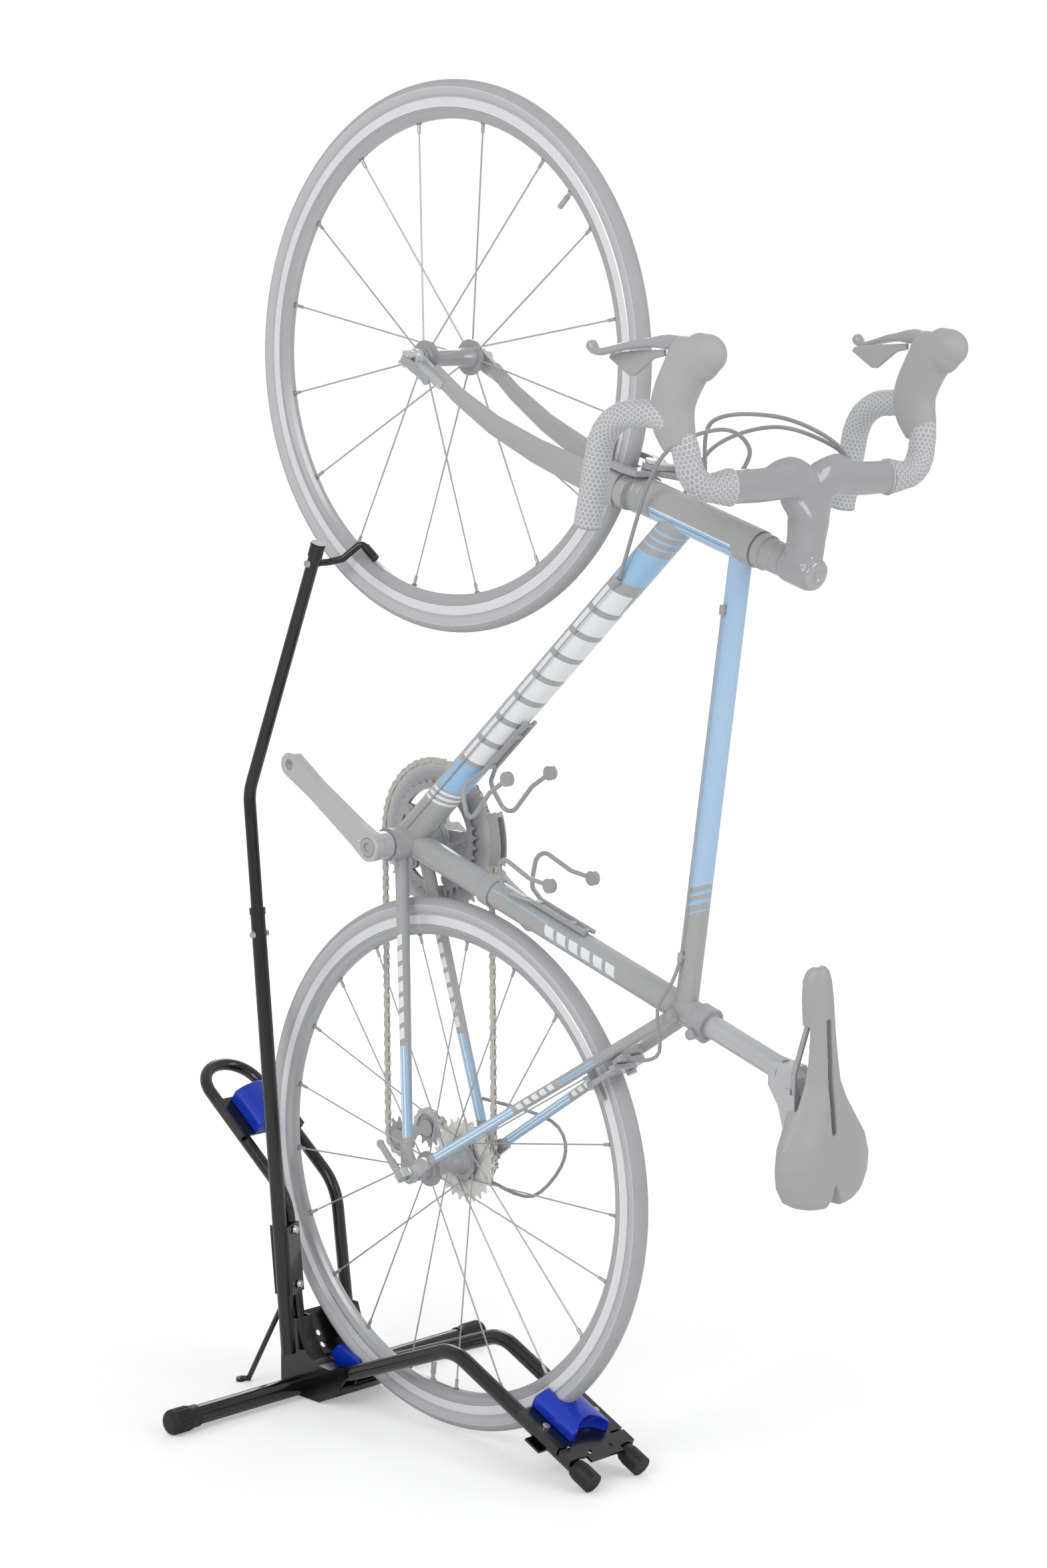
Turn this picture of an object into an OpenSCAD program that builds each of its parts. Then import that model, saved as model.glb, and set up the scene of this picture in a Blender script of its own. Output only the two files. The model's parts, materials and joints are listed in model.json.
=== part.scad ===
// Road bicycle standing on its rear wheel in a floor stand.
// X runs from the stand's mast towards the saddle, Y from the bicycle's left
// side to its right (drive) side, and Z up. The origin is on the floor, under
// the middle of the whole. Inside the modules X is counted from the line
// through both wheel hubs, and home() moves it. Millimetres.

/* [Wheels] */
// Outer radius of both tyres
tyre_outer_r = 334; // [320:1:345]
// Radius of the tyre's round section
tyre_tube_r = 11.5; // [11:0.5:12.5]
// Thickness of the tyre casing
tyre_wall = 2.3; // [1.8:0.1:3]
// Height of the rear tyre above the floor
tyre_floor_gap = 5.6; // [3:0.2:9]
// Radial depth of the rim below its brake track's upper edge
rim_depth = 24; // [20:1:30]
// Width across the rim's brake tracks
rim_w = 19.6; // [19:0.2:21]
// Width of the flat spoke bed
spoke_bed_w = 6; // [5:0.5:8]
// Radius of a spoke
spoke_r = 1; // [0.9:0.1:1.2]
// Radius of a spoke nipple
nipple_r = 2.1; // [1.8:0.1:2.4]
// Length of a spoke nipple
nipple_len = 12; // [10:1:14]
// Number of spokes in the front wheel
front_spokes_n = 16; // [12:2:20]
// Angle of the first front spoke, from the saddle side
front_spoke_turn = 10.1; // [9:0.1:11]
// Number of spoke groups of three in the rear wheel
rear_groups_n = 7; // [5:1:8]
// Angle of the first rear spoke, from the saddle side
rear_spoke_turn = 32.1; // [30:0.1:34]

/* [Hubs] */
// Distance from the middle plane to a front hub flange
front_flange_y = 37; // [32:1:39]
// Radius of the hub flanges
flange_r = 22; // [20:1:24]
// Thickness of a hub flange
flange_t = 3.2; // [2.6:0.2:4]
// Radius of the hub shells between their flanges
hub_shell_r = 10; // [9:0.5:12]
// Distance between the fork tips
front_old = 100; // [98:1:104]
// Distance between the rear dropouts
rear_old = 130; // [130:1:134]
// Radius of both axles
axle_r = 4.75; // [4.5:0.05:5]
// Distance from the middle plane to the rear hub's left flange
rear_flange_left_y = 36; // [32:1:38]
// Distance from the middle plane to the rear hub's right flange
rear_flange_right_y = 19.5; // [18:0.5:21]

/* [Frame] */
// Distance between the two hubs
wheelbase = 998.7; // [980:0.1:1015]
// Length of the chain stays, hub to bottom bracket
chainstay_len = 404; // [400:1:412]
// Drop of the bottom bracket below the line through the hubs
bb_drop = 68; // [66:1:71]
// Angle between the seat tube and the line through the hubs
seat_angle = 72.8; // [72:0.1:74]
// Length of the seat tube from the bottom bracket to its upper end
seat_tube_len = 526; // [515:1:530]
// Outer radius of the seat tube
seat_tube_r = 17; // [16.5:0.5:18]
// Outer radius of the head tube
head_tube_r = 22; // [21:0.5:23]
// Length of the head tube
head_tube_len = 176; // [170:1:182]
// Outer radius of the down tube
down_tube_r = 20; // [18:0.5:21]
// Outer radius of the top tube
top_tube_r = 13.5; // [12:0.5:14]
// Distance of the top tube's axis below the upper end of the head tube
top_tube_below_head = 27; // [24:1:34]
// Distance of the down tube's axis above the lower end of the head tube
down_tube_above_fork = 60; // [54:1:64]
// Distance of the top tube's axis below the upper end of the seat tube
top_tube_below_seat = 40; // [36:1:46]
// Outer radius of the bottom bracket shell
bb_shell_r = 20.5; // [20:0.5:22]
// Width of the bottom bracket shell
bb_shell_w = 68; // [68:1:70]
// Radius of the chain stays
chainstay_r = 8.8; // [8:0.2:9]
// Radius of the seat stays
seatstay_r = 7.3; // [6.5:0.1:8]
// Thickness of the dropouts
dropout_t = 6; // [5:0.5:7]

/* [Fork and steering] */
// Angle between the head tube and the line through the hubs
head_angle = 73.5; // [73:0.1:74]
// Offset of the front hub ahead of the steering axis
fork_rake = 52; // [48:0.5:54]
// Distance along the steering axis from the hub to the crown seat
fork_len = 366; // [364:0.5:370]
// Depth of a fork blade, fore and aft, at the crown
blade_top_depth = 40; // [36:1:42]
// Width of a fork blade at the crown
blade_top_w = 19; // [17:1:20]
// Depth of a fork blade at its tip
blade_tip_depth = 19; // [17:1:21]
// Radius of the steerer tube
steerer_r = 14.3; // [14.3:0.1:14.8]
// Height of the top cover and spacers above the head tube
spacer_stack = 40; // [34:1:44]
// Height of the stem's steerer clamp
stem_clamp_h = 44; // [40:1:48]
// Distance from the steering axis to the handlebar's axis
stem_len = 109.5; // [105:0.5:114]
// Downward angle of the stem from square to the steering axis
stem_drop_angle = 8.1; // [6:0.1:10]
// Travel of the steering that the hooked wheel leaves each way, degrees
steer_play = 1; // [0.5:0.1:1]

/* [Handlebar] */
// Distance from the middle plane to the drops
bar_half_w = 211; // [205:1:216]
// Radius of the bare bar
bar_r = 12; // [11.5:0.1:12.5]
// Thickness of the wrapped tape
tape_t = 3; // [2.5:0.1:3.5]
// Front-to-back chord of the flattened bar top
bar_top_chord = 40; // [36:1:42]
// Height of the flattened bar top
bar_top_h = 23; // [21:0.5:25]
// Forward reach of the drops from the bar's axis
bar_reach = 70; // [66:1:74]
// Depth of the drops below the bar's axis
bar_drop = 132; // [126:1:136]
// Bend radius of the hooks
hook_bend_r = 50; // [46:1:52]
// Distance from the middle plane at which the tape starts
tape_start_y = 133; // [120:1:140]

/* [Controls] */
// Full pull of a brake lever, degrees
lever_pull = 20; // [12:1:22]
// Sweep of a shift paddle, degrees
paddle_sweep = 9; // [6:1:10]
// Length of a brake lever blade below its pivot
lever_len = 118; // [110:1:122]

/* [Drivetrain] */
// Pitch of the chain
chain_pitch = 12.7;
// Number of links in the chain
chain_links = 110; // [110]
// Teeth on the large chainring
ring_teeth = 48; // [48]
// Teeth on the small chainring
inner_ring_teeth = 36; // [36]
// Teeth on the sprocket that the chain runs on
driven_teeth = 16; // [16]
// Teeth on a derailleur pulley
pulley_teeth = 11; // [11]
// Distance from the middle plane to the chain's middle
chain_line = 44.5; // [44:0.1:45]
// Thickness of the chainrings and sprockets
cog_t = 1.6; // [1.5:0.1:1.7]
// Distance between neighbouring sprockets
cog_pitch = 3.95; // [3.9:0.05:4]
// Length of the crank arms
crank_len = 170; // [165:2.5:175]
// Angle of the left crank arm, from the saddle side
crank_turn = 148.8; // [145:0.1:150]
// Thickness of a crank arm
crank_t = 15; // [13:1:16]
// Distance from the middle plane to the outer face of a crank arm
crank_outer_y = 75; // [74:1:78]
// Radius of the hollow crank spindle
spindle_r = 12; // [11.5:0.1:12.2]
// Radius of the chainring bolt circle
bolt_circle_r = 55; // [54:1:56]
// Distance between the two derailleur pulleys
cage_len = 57; // [57]

// Angle of the derailleur cage that takes up the slack of the chain
cage_turn = 201.05; // [200.5:0.01:201.5]

/* [Brakes] */
// Reach from a brake's bolt to its pads
brake_reach = 49; // [47:0.5:51]
// Gap between a pad and the rim at rest
pad_gap = 2.2; // [2:0.1:3]

/* [Saddle] */
// Radius of the seatpost
seatpost_r = 13.6; // [13.6:0.1:14]
// Height of the seatpost's axis end above the seat tube
seatpost_show = 142; // [120:1:160]
// Length of the seatpost inside the seat tube
seatpost_in = 100; // [90:1:110]
// Length of the saddle
saddle_len = 272; // [265:1:280]
// Greatest width of the saddle
saddle_w = 150; // [140:1:156]
// Width of the saddle's pressure slot
saddle_slot_w = 7; // [5:1:9]
// Downward travel of the seatpost
seatpost_travel = 60; // [40:5:70]

/* [Bottle cages] */
// Radius of the cage rod
cage_rod_r = 2.9; // [2.5:0.1:3.2]
// Radius of the bottle that the cage holds
bottle_r = 36.5; // [36:0.5:37.5]

/* [Stand base] */
// Distance from the middle plane to the stand's long tubes
leg_y = 42; // [40:0.5:44]
// Radius of the front legs
leg_r = 9.5; // [9:0.5:10]
// Slope of the front legs where they leave the bracket, degrees
leg_rise = 21.6; // [20:0.1:23]
// Slope of the front legs down to the floor, degrees
leg_fall = 24.6; // [23:0.1:26]
// X of the knee of the front legs
leg_knee_x = 48.1; // [40:1:56]
// Height of the knee of the front legs
leg_knee_z = 122.1; // [118:1:126]
// Radius of the leg caps
leg_cap_r = 13; // [12:0.5:14]
// Length of the leg caps
leg_cap_len = 22; // [18:1:30]
// Radius of the cross tube
cross_tube_r = 12.5; // [12:0.5:13]
// Half width of a wheel cradle
cradle_half = 32; // [28:0.5:34]
// Height of a cradle's sides above its plate
cradle_edge = 13; // [10:0.5:16]
// Height of a cradle's arched back above its plate
cradle_crest = 23; // [19:0.5:26]
// Radius of the ribbed caps on the cross tube
cross_cap_r = 16; // [15:0.5:17]
// X of the cross tube
cross_x = -225.5; // [-230:0.5:-222]
// Length of the cross tube over its caps
cross_len = 540; // [500:5:600]
// Radius of the rear loop's tube
loop_r = 8; // [7.5:0.5:8.5]
// Height of the bend in the rear loop
loop_bend_z = 254; // [248:0.5:260]
// Slope of the upper part of the loop, degrees
loop_slope = 36.5; // [36:0.5:38]
// X of the far end of the loop
loop_end_x = -446; // [-450:1:-440]
// Thickness of the bracket's sheet
bracket_t = 3; // [2.5:0.5:3.5]

/* [Stand mast] */
// Backward lean of the mast, degrees
mast_lean = 5.45; // [5.3:0.05:5.6]
// X of the mast's axis on the floor
mast_foot_x = -224; // [-225:0.2:-223]
// Distance from the middle plane to the mast
mast_y = 68.5; // [68:0.5:70]
// Height of the lower end of the mast
mast_low_z = 60; // [50:1:70]
// Height of the upper end of the lower mast tube
mast_joint_z = 628; // [600:1:660]
// Outer radius of the lower mast tube
mast_r = 9.5; // [9.4:0.1:9.8]
// Outer radius of the upper mast tube
upper_mast_r = 8; // [7.9:0.1:8.1]
// Height of the bend in the upper mast
mast_bend_z = 781; // [776:1:786]
// Forward lean of the mast above its bend, degrees
mast_fore_lean = 22.7; // [22.5:0.1:22.9]
// Height of the mast's top
mast_top_z = 1108; // [1102:1:1110]
// Height of the hook's bolt
hook_bolt_z = 1082; // [1081:0.2:1083]
// Angle round the front wheel at which the hook's bar ends
hook_end_turn = 244; // [240:0.5:244]
// Radius of the hook's bar
hook_r = 4.5; // [4:0.1:5]
// Height at which the mast's bolt joins the two tubes
mast_bolt_z = 600; // [595:1:610]
// X at the lower end of the loop
loop_foot_x = -235; // [-238:1:-232]

/* [Clearances] */
// Gap between pieces that touch but move apart
seat_gap = 0.3; // [0.2:0.05:0.4]
// Radial running clearance of the spinning parts
run_gap = 0.06; // [0.03:0.01:0.09]

/* [Hidden] */
$fn = 48;
C_STAND = [0.13,0.13,0.14];
C_ZINC = [0.75,0.75,0.72];
C_BLUE = [0.12,0.36,0.72];
C_FRAME = [0.72,0.73,0.75];
C_PARTS = [0.62,0.63,0.65];
C_METAL = [0.85,0.85,0.86];
C_RUBBER = [0.55,0.55,0.57];

// Points of the bicycle: up is +X and forwards is +Z
hub_r = [0,0,tyre_floor_gap + tyre_outer_r];
hub_f = hub_r + [0,0,wheelbase];
bb = hub_r + [-bb_drop,0,sqrt(chainstay_len * chainstay_len - bb_drop * bb_drop)];
seat_u = [sin(seat_angle),0,-cos(seat_angle)];
seat_f = [cos(seat_angle),0,sin(seat_angle)];
steer_u = [sin(head_angle),0,-cos(head_angle)];
steer_f = [cos(head_angle),0,sin(head_angle)];
head_low = fork_len;
head_top = fork_len + head_tube_len;
stem_low = head_top + spacer_stack;
stem_mid = stem_low + stem_clamp_h / 2;
tyre_mid_r = tyre_outer_r - tyre_tube_r;
rim_edge_r = tyre_outer_r - 21.7;
rim_bed_r = rim_edge_r - rim_depth - 1.2;
top_seat = sp(seat_tube_len - top_tube_below_seat);
top_head = hp(head_top - top_tube_below_head);
down_head = hp(head_low + down_tube_above_fork);
down_bb = bb + [-0.675,0,0.738] * 5.6;
bar_axis = hp(stem_mid, 0) + stem_len * (cos(stem_drop_angle) * steer_f - sin(stem_drop_angle) * steer_u);

// Point by height along the steering axis, offset forwards, and Y
function hp(a, b = 0, y = 0) = hub_f + (a * steer_u) + ((b - fork_rake) * steer_f) + [0,y,0];
// Point by height along the seat tube, offset forwards, and Y
function sp(a, b = 0, y = 0) = bb + a * seat_u + b * seat_f + [0,y,0];
// Point round a hub by radius, angle from the saddle side, and Y
function wp(hub, r, t, y = 0) = hub + [r * cos(t),y,r * sin(t)];
function unit(v) = v / norm(v);
function mix(a, b, t) = a + (b - a) * t;
function turn_between(u, v) = acos(min(1, max(-1, u * v)));
function trim_len(a, b, c, R) = R * tan(turn_between(unit(b - a), unit(c - b)) / 2);
function flip(p) = [p[0],-p[1],p[2]];
function flips(l) = [for (p = l) flip(p)];

// Straight round rod or cone between two points, hollow when ri is given
module rod(a, b, r1, r2 = undef, ri = 0) {
	d = b - a;
	L = norm(d);
	re = is_undef(r2) ? r1 : r2;
	translate(a)
		rotate([0,acos(d[2] / L),atan2(d[1], d[0])])
			difference() {
				cylinder(h = L, r1 = r1, r2 = re);
				if (ri > 0)
					translate([0,0,-1])
						cylinder(h = L + 2, r = ri);
			}
}

// Quarter of a ring that turns a tube from one straight into the next
module elbow(a, b, c, R, r, ri = 0) {
	u = unit(b - a);
	v = unit(c - b);
	ang = turn_between(u, v);
	n = unit(cross(u, v));
	x = cross(u, n);
	o = b - u * R * tan(ang / 2) - x * R;
	multmatrix([[x[0],u[0],n[0],o[0]],[x[1],u[1],n[1],o[1]],[x[2],u[2],n[2],o[2]]])
		rotate_extrude(angle = ang)
			translate([R,0])
				difference() {
					circle(r);
					if (ri > 0)
						circle(ri);
				}
}

function bend(R, i) = is_list(R) ? R[i - 1] : R;

// Seam between a tube's straight and bent lengths
joint_gap = 0.02;

// Bent tube through corner points, with bend radius R or one per corner
module tube_path(pts, R, r, ri = 0) {
	n = len(pts);
	for (i = [0:n - 2]) {
		a = pts[i];
		b = pts[i + 1];
		u = unit(b - a);
		ta = i > 0 ? trim_len(pts[i - 1], a, b, bend(R, i)) : 0;
		tb = i < n - 2 ? trim_len(a, b, pts[i + 2], bend(R, i + 1)) : 0;
		rod(a + u * (ta + (i > 0 ? joint_gap : 0)), b - u * (tb + (i < n - 2 ? joint_gap : 0)), r, ri = ri);
		if (i < n - 2)
			elbow(a, b, pts[i + 2], bend(R, i + 1), r, ri);
	}
}

// Frames: local x, y are world X, Z and local z points to the left, -Y
module side_frame(p) {
	translate(p)
		rotate([90,0,0])
			children();
}

// Flat plate in the X-Z plane from y0 to y1, outlined by [X, Z] points
module side_plate(y0, y1, outline) {
	translate([0,y1,0])
		rotate([90,0,0])
			linear_extrude(y1 - y0)
				polygon(outline);
}

// Local z along direction d, from point p
module along(p, d) {
	translate(p)
		rotate([0,acos(d[2] / norm(d)),atan2(d[1], d[0])])
			children();
}

// Moves every part so that the origin is under the middle of the whole
module home() {
	translate([-(loop_end_x - loop_r + hood_outline[8][0]) / 2,0,0])
		children();
}

module both_sides() {
	children();
	mirror([0,1,0])
		children();
}

// Tube swept through points with a section of given half widths; n sides
module sweep(pts, wid, dep, ref, n = 20) {
	m = len(pts);
	rings = [for (i = [0:m - 1])
		let (t = unit(pts[min(i + 1, m - 1)] - pts[max(i - 1, 0)]),
				 q = unit(cross(ref, t)),
				 s = unit(cross(t, q)))
		[for (k = [0:n - 1])
			pts[i] + q * wid[i] * cos(360 * k / n) + s * dep[i] * sin(360 * k / n)]];
	polyhedron(points = [for (r = rings) for (p = r) p],
		faces = concat(
			[[for (k = [0:n - 1]) k]],
			[for (i = [0:m - 2]) for (k = [0:n - 1])
				[i * n + k,(i + 1) * n + (k + 1) % n,i * n + (k + 1) % n]],
			[for (i = [0:m - 2]) for (k = [0:n - 1])
				[i * n + k,(i + 1) * n + k,(i + 1) * n + (k + 1) % n]],
			[[for (k = [0:n - 1]) m * n - 1 - k]]));
}

// Smooth curve through corner points, for cables
function smooth(p, k = 3) = [for (i = [0:len(p) - 2]) for (j = [0:k - 1])
	curve_at(p[max(i - 1, 0)], p[i], p[i + 1], p[min(i + 2, len(p) - 1)], j / k),p[len(p) - 1]];
function curve_at(a, b, c, d, t) = 0.5 * ((2 * b) + (c - a) * t + (2 * a - 5 * b + 4 * c - d) * t * t
	+ (3 * b - a - 3 * c + d) * t * t * t);

module cable(p, r, k = 3, n = 8) {
	q = smooth(p, k);
	one = [for (i = q) r];
	sweep(q, one, one, unit([0.3,1,0.2]), n);
}

// ---- wheels

module rim(hub, valve_turn) {
	e = rim_edge_r;
	b = rim_bed_r;
	w = rim_w / 2;
	s = spoke_bed_w / 2;
	half = [[b,s],[b + 4,s + 3.4],[b + 10,w - 0.9],[b + 10.4,w],[e - 1.2,w],[e,w - 0.7],
		[e,w - 2],[e - 6,w - 2],[e - 8.5,4]];
	inner = [[b + 1.6,s - 0.6],[b + 5.5,s + 1.6],[b + 11,w - 2.4],[e - 9.5,w - 2.4],[e - 10.5,3.6]];
	side_frame(hub) {
		rotate_extrude($fn = 96)
			difference() {
				polygon(concat(half, [for (i = [len(half) - 1:-1:0]) [half[i][0],-half[i][1]]]));
				polygon(concat(inner, [for (i = [len(inner) - 1:-1:0]) [inner[i][0],-inner[i][1]]]));
			}
		rotate([0,0,valve_turn])
			translate([b - 26,0,0])
				rotate([0,90,0]) {
					cylinder(h = 26.8, r = 2.6);
					cylinder(h = 17, r = 3.4);
					translate([0,0,24.4])
						cylinder(h = 2, r = 4.4);
				}
	}
}

module tyre(hub) {
	e = rim_edge_r;
	w = rim_w / 2 - 2.1;
	side_frame(hub)
		rotate_extrude($fn = 96) {
			difference() {
				translate([tyre_mid_r,0])
					circle(tyre_tube_r);
				translate([tyre_mid_r,0])
					circle(tyre_tube_r - tyre_wall);
				translate([e - 20,-20])
					square([20.2,40]);
			}
			for (s = [-1,1])
				translate([e - 5.4,s > 0 ? w - 1.9 : -w])
					square([7.6,1.9]);
		}
}

// One spoke with its nipple from radius r0 at the flange to the spoke bed
module spoke(hub, t, r0, y0, lead = 0) {
	a = wp(hub, r0, t + lead, y0);
	b = wp(hub, rim_bed_r - 0.4, t, 0);
	u = unit(b - a);
	c = b - u * nipple_len;
	rod(a, c + u, spoke_r);
	rod(c, b, nipple_r);
}

function front_spoke_angle(i) = front_spoke_turn + i * 360 / front_spokes_n;
function rear_spoke_angle(i) = rear_spoke_turn + i * 360 / (3 * rear_groups_n);

module front_spokes() {
	color(C_METAL) home()
		for (i = [0:front_spokes_n - 1])
			spoke(hub_f, front_spoke_angle(i), flange_r + 0.4, (i % 2 == 0 ? -1 : 1) * front_flange_y);
}

module rear_spokes() {
	color(C_METAL) home()
		for (i = [0:3 * rear_groups_n - 1]) {
			w = i % 3 == 1 ? -1 : 1;
			if (i % 3 == 0)
				spoke(hub_r, rear_spoke_angle(i), flange_r + 0.4, -rear_flange_left_y);
			else
				spoke(hub_r, rear_spoke_angle(i), flange_r + 3, rear_flange_right_y - 1.5 * w, 57 * w);
		}
}

module front_rim() {
	color(C_METAL) home()
		rim(hub_f, 43.3);
}

module rear_rim() {
	color(C_METAL) home()
		rim(hub_r, 263.5);
}

module front_tyre() {
	color(C_RUBBER) home()
		tyre(hub_f);
}

module rear_tyre() {
	color(C_RUBBER) home()
		tyre(hub_r);
}

module front_hub() {
	f = front_flange_y;
	t = flange_t / 2;
	color(C_METAL) home()
		side_frame(hub_f)
			difference() {
				rotate_extrude()
					polygon([[0,-46],[10.5,-46],[11.5,-44],[11.5,-f - t - 1],[flange_r - 8,-f - t],
						[flange_r,-f - t],[flange_r,-f + t],[flange_r - 7,-f + t],[12.5,-f + 8],
						[hub_shell_r,-18],[hub_shell_r,18],[12.5,f - 8],[flange_r - 7,f - t],
						[flange_r,f - t],[flange_r,f + t],[flange_r - 8,f + t],[11.5,f + t + 1],
						[11.5,44],[10.5,46],[0,46]]);
				translate([0,0,-60])
					cylinder(h = 120, r = axle_r + run_gap);
				translate([0,0,-30])
					cylinder(h = 60, r = 7.5);
			}
}

// Drum that carries the sprockets; it turns inside them
drum_r = 15;
drum_y = 61.2;

module rear_hub() {
	l = rear_flange_left_y;
	r = rear_flange_right_y;
	t = flange_t / 2;
	color(C_METAL) home()
		side_frame(hub_r)
			difference() {
				rotate_extrude()
					polygon([[0,-drum_y],[drum_r,-drum_y],[drum_r,-r - t - 0.6],[flange_r + 2,-r - t],
						[flange_r + 2,-r + t],[flange_r - 4,-r + t],[13,-r + 9],[hub_shell_r + 1,4],
						[hub_shell_r + 1,14],[13.5,l - 8],[flange_r - 7,l - t],[flange_r,l - t],
						[flange_r,l + t],[flange_r - 8,l + t],[11.5,l + t + 2],[11.5,58],[10.5,60],[0,60]]);
				translate([0,0,-80])
					cylinder(h = 160, r = axle_r + run_gap);
				translate([0,0,-52])
					cylinder(h = 104, r = 8);
			}
}

// Cam pivots of the quick releases, on the skewers' left ends
front_cam_y = front_old / 2 + dropout_t + 13.5;
rear_cam_y = rear_old / 2 + dropout_t + 10;
front_cam_turn = -33;
rear_cam_turn = 137;
cam_pin_r = 2.5;

// Cam head on a skewer's left end, reaching in to the dropout's face
module cam_head(hub, y, turn, face_y) {
	side_frame(hub + [0,-y,0])
		rotate([0,0,turn]) {
			translate([0,0,face_y - y])
				cylinder(h = y - face_y - 6.8, r = 9.5);
			for (s = [0,1])
				mirror([0,s,0])
					translate([-5.5,5.3,-8])
						cube([11,3.2,13]);
			translate([0,8.5,0])
				rotate([90,0,0])
					cylinder(h = 17, r = cam_pin_r);
		}
}

// Lever of a quick release, turning on the cam head's pin
module cam_lever(hub, y, turn, len) {
	side_frame(hub + [0,-y,0])
		rotate([0,0,turn])
			difference() {
				union() {
					translate([0,5,0])
						rotate([90,0,0])
							cylinder(h = 10, r = 6);
					translate([2,-5,0.5])
						cube([len * 0.4,10,5]);
					translate([len * 0.4,-4.5,1])
						cube([len * 0.6 - 5,9,4]);
					translate([len - 5,0,1])
						cylinder(h = 4, r = 5.6);
				}
				translate([0,10,0])
					rotate([90,0,0])
						cylinder(h = 20, r = cam_pin_r + run_gap);
			}
}

// Axle between the fork tips with its lock nuts, far nut and cam head
module front_axle() {
	h = front_old / 2;
	color(C_METAL) home() {
		side_frame(hub_f) {
			translate([0,0,-h - dropout_t])
				cylinder(h = 2 * h + 2 * dropout_t, r = axle_r);
			for (s = [0,1])
				mirror([0,0,s])
					translate([0,0,46.4])
						cylinder(h = h - 46.4, r = 8.5);
			translate([0,0,-h - dropout_t - 12.4])
				cylinder(h = 12.4, r1 = 7.5, r2 = 9.5);
		}
		cam_head(hub_f, front_cam_y, front_cam_turn, h + dropout_t);
	}
}

module front_skewer_lever() {
	color(C_METAL) home()
		cam_lever(hub_f, front_cam_y, front_cam_turn, 50);
}

module rear_axle() {
	h = rear_old / 2;
	color(C_METAL) home() {
		side_frame(hub_r) {
			translate([0,0,-h - dropout_t])
				cylinder(h = 2 * h + 2 * dropout_t, r = axle_r);
			translate([0,0,-h])
				cylinder(h = 2.3, r = 9);
			translate([0,0,60.6])
				cylinder(h = h - 60.6, r = 9);
			translate([0,0,-h - dropout_t - 11.6])
				cylinder(h = 11.6, r1 = 8, r2 = 10);
		}
		cam_head(hub_r, rear_cam_y, rear_cam_turn, h + dropout_t);
	}
}

module rear_skewer_lever() {
	color(C_METAL) home()
		cam_lever(hub_r, rear_cam_y, rear_cam_turn, 54);
}

// ---- drivetrain

function pitch_r(n) = chain_pitch / (2 * sin(180 / n));
seat_cut_r = 4.1;
roller_r = 3.75;
tooth_h = 2.7;

// Outline of a sprocket whose first roller seat is at angle t0
function sprocket_outline(n, t0) = [for (i = [0:n - 1])
	let (t = t0 + i * 360 / n, R = pitch_r(n))
	each concat(
		[for (s = [-62,-31,0,31,62])
			[R * cos(t) + seat_cut_r * cos(t + 180 - s),R * sin(t) + seat_cut_r * sin(t + 180 - s)]],
		[for (s = [-1,1])
			let (q = t + 180 / n + s * 50 / (R + tooth_h))
			[(R + tooth_h) * cos(q),(R + tooth_h) * sin(q)]])];

// The chain runs over four wheels: [centre x, centre z, teeth, sense]
guide_c = [hub_r[0] - 86,hub_r[2] + 22.4];
tension_c = guide_c + cage_len * [cos(cage_turn),sin(cage_turn)];
loop = [[bb[0],bb[2],ring_teeth,-1],[hub_r[0],hub_r[2],driven_teeth,-1],
	[guide_c[0],guide_c[1],pulley_teeth,1],[tension_c[0],tension_c[1],pulley_teeth,-1]];
function loop_d(i) = let (a = loop[i], b = loop[(i + 1) % 4], D = [b[0] - a[0],b[1] - a[1]])
	[D,b[3] * pitch_r(b[2]) - a[3] * pitch_r(a[2])];
// Direction and length of the straight run after wheel i
runs = [for (i = [0:3]) let (q = loop_d(i), n = norm(q[0]))
	[atan2(q[0][1], q[0][0]) - asin(q[1] / n),sqrt(n * n - q[1] * q[1])]];
// Angle at which the chain meets wheel i, its wrap, and both counted in links
function meet(i) = runs[(i + 3) % 4][0] + (loop[i][3] > 0 ? -90 : 90);
function wrap(i) = let (w = loop[i][3] * (runs[i][0] - runs[(i + 3) % 4][0]))
	w - 360 * floor(w / 360);
function wrap_links(i) = wrap(i) * loop[i][2] / 360;
function run_links(i) = runs[i][1] / chain_pitch;
function links_before(i) = i == 0 ? 0 : links_before(i - 1) + wrap_links(i - 1) + run_links(i - 1);
// Seat phase of wheel i, so that every roller sits between two teeth
function phase(i) = meet(i) - loop[i][3] * links_before(i) * 360 / loop[i][2];
function link_point(s) =
	let (i = s >= links_before(3) ? 3 : s >= links_before(2) ? 2 : s >= links_before(1) ? 1 : 0,
			 q = s - links_before(i),
			 c = [loop[i][0],loop[i][1]],
			 R = pitch_r(loop[i][2]),
			 w = min(q, wrap_links(i)),
			 t = meet(i) + loop[i][3] * w * 360 / loop[i][2],
			 k = (q - w) * chain_pitch)
	c + R * [cos(t),sin(t)] + k * [cos(runs[i][0]),sin(runs[i][0])];

// Outline of a link plate between two pins
function plate_outline(L, r) = concat(
	[for (t = [90:36:270]) [r * cos(t),r * sin(t)]],
	[[L / 2,-r * 0.68]],
	[for (t = [-90:36:90]) [L + r * cos(t),r * sin(t)]],
	[[L / 2,r * 0.68]]);

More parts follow.
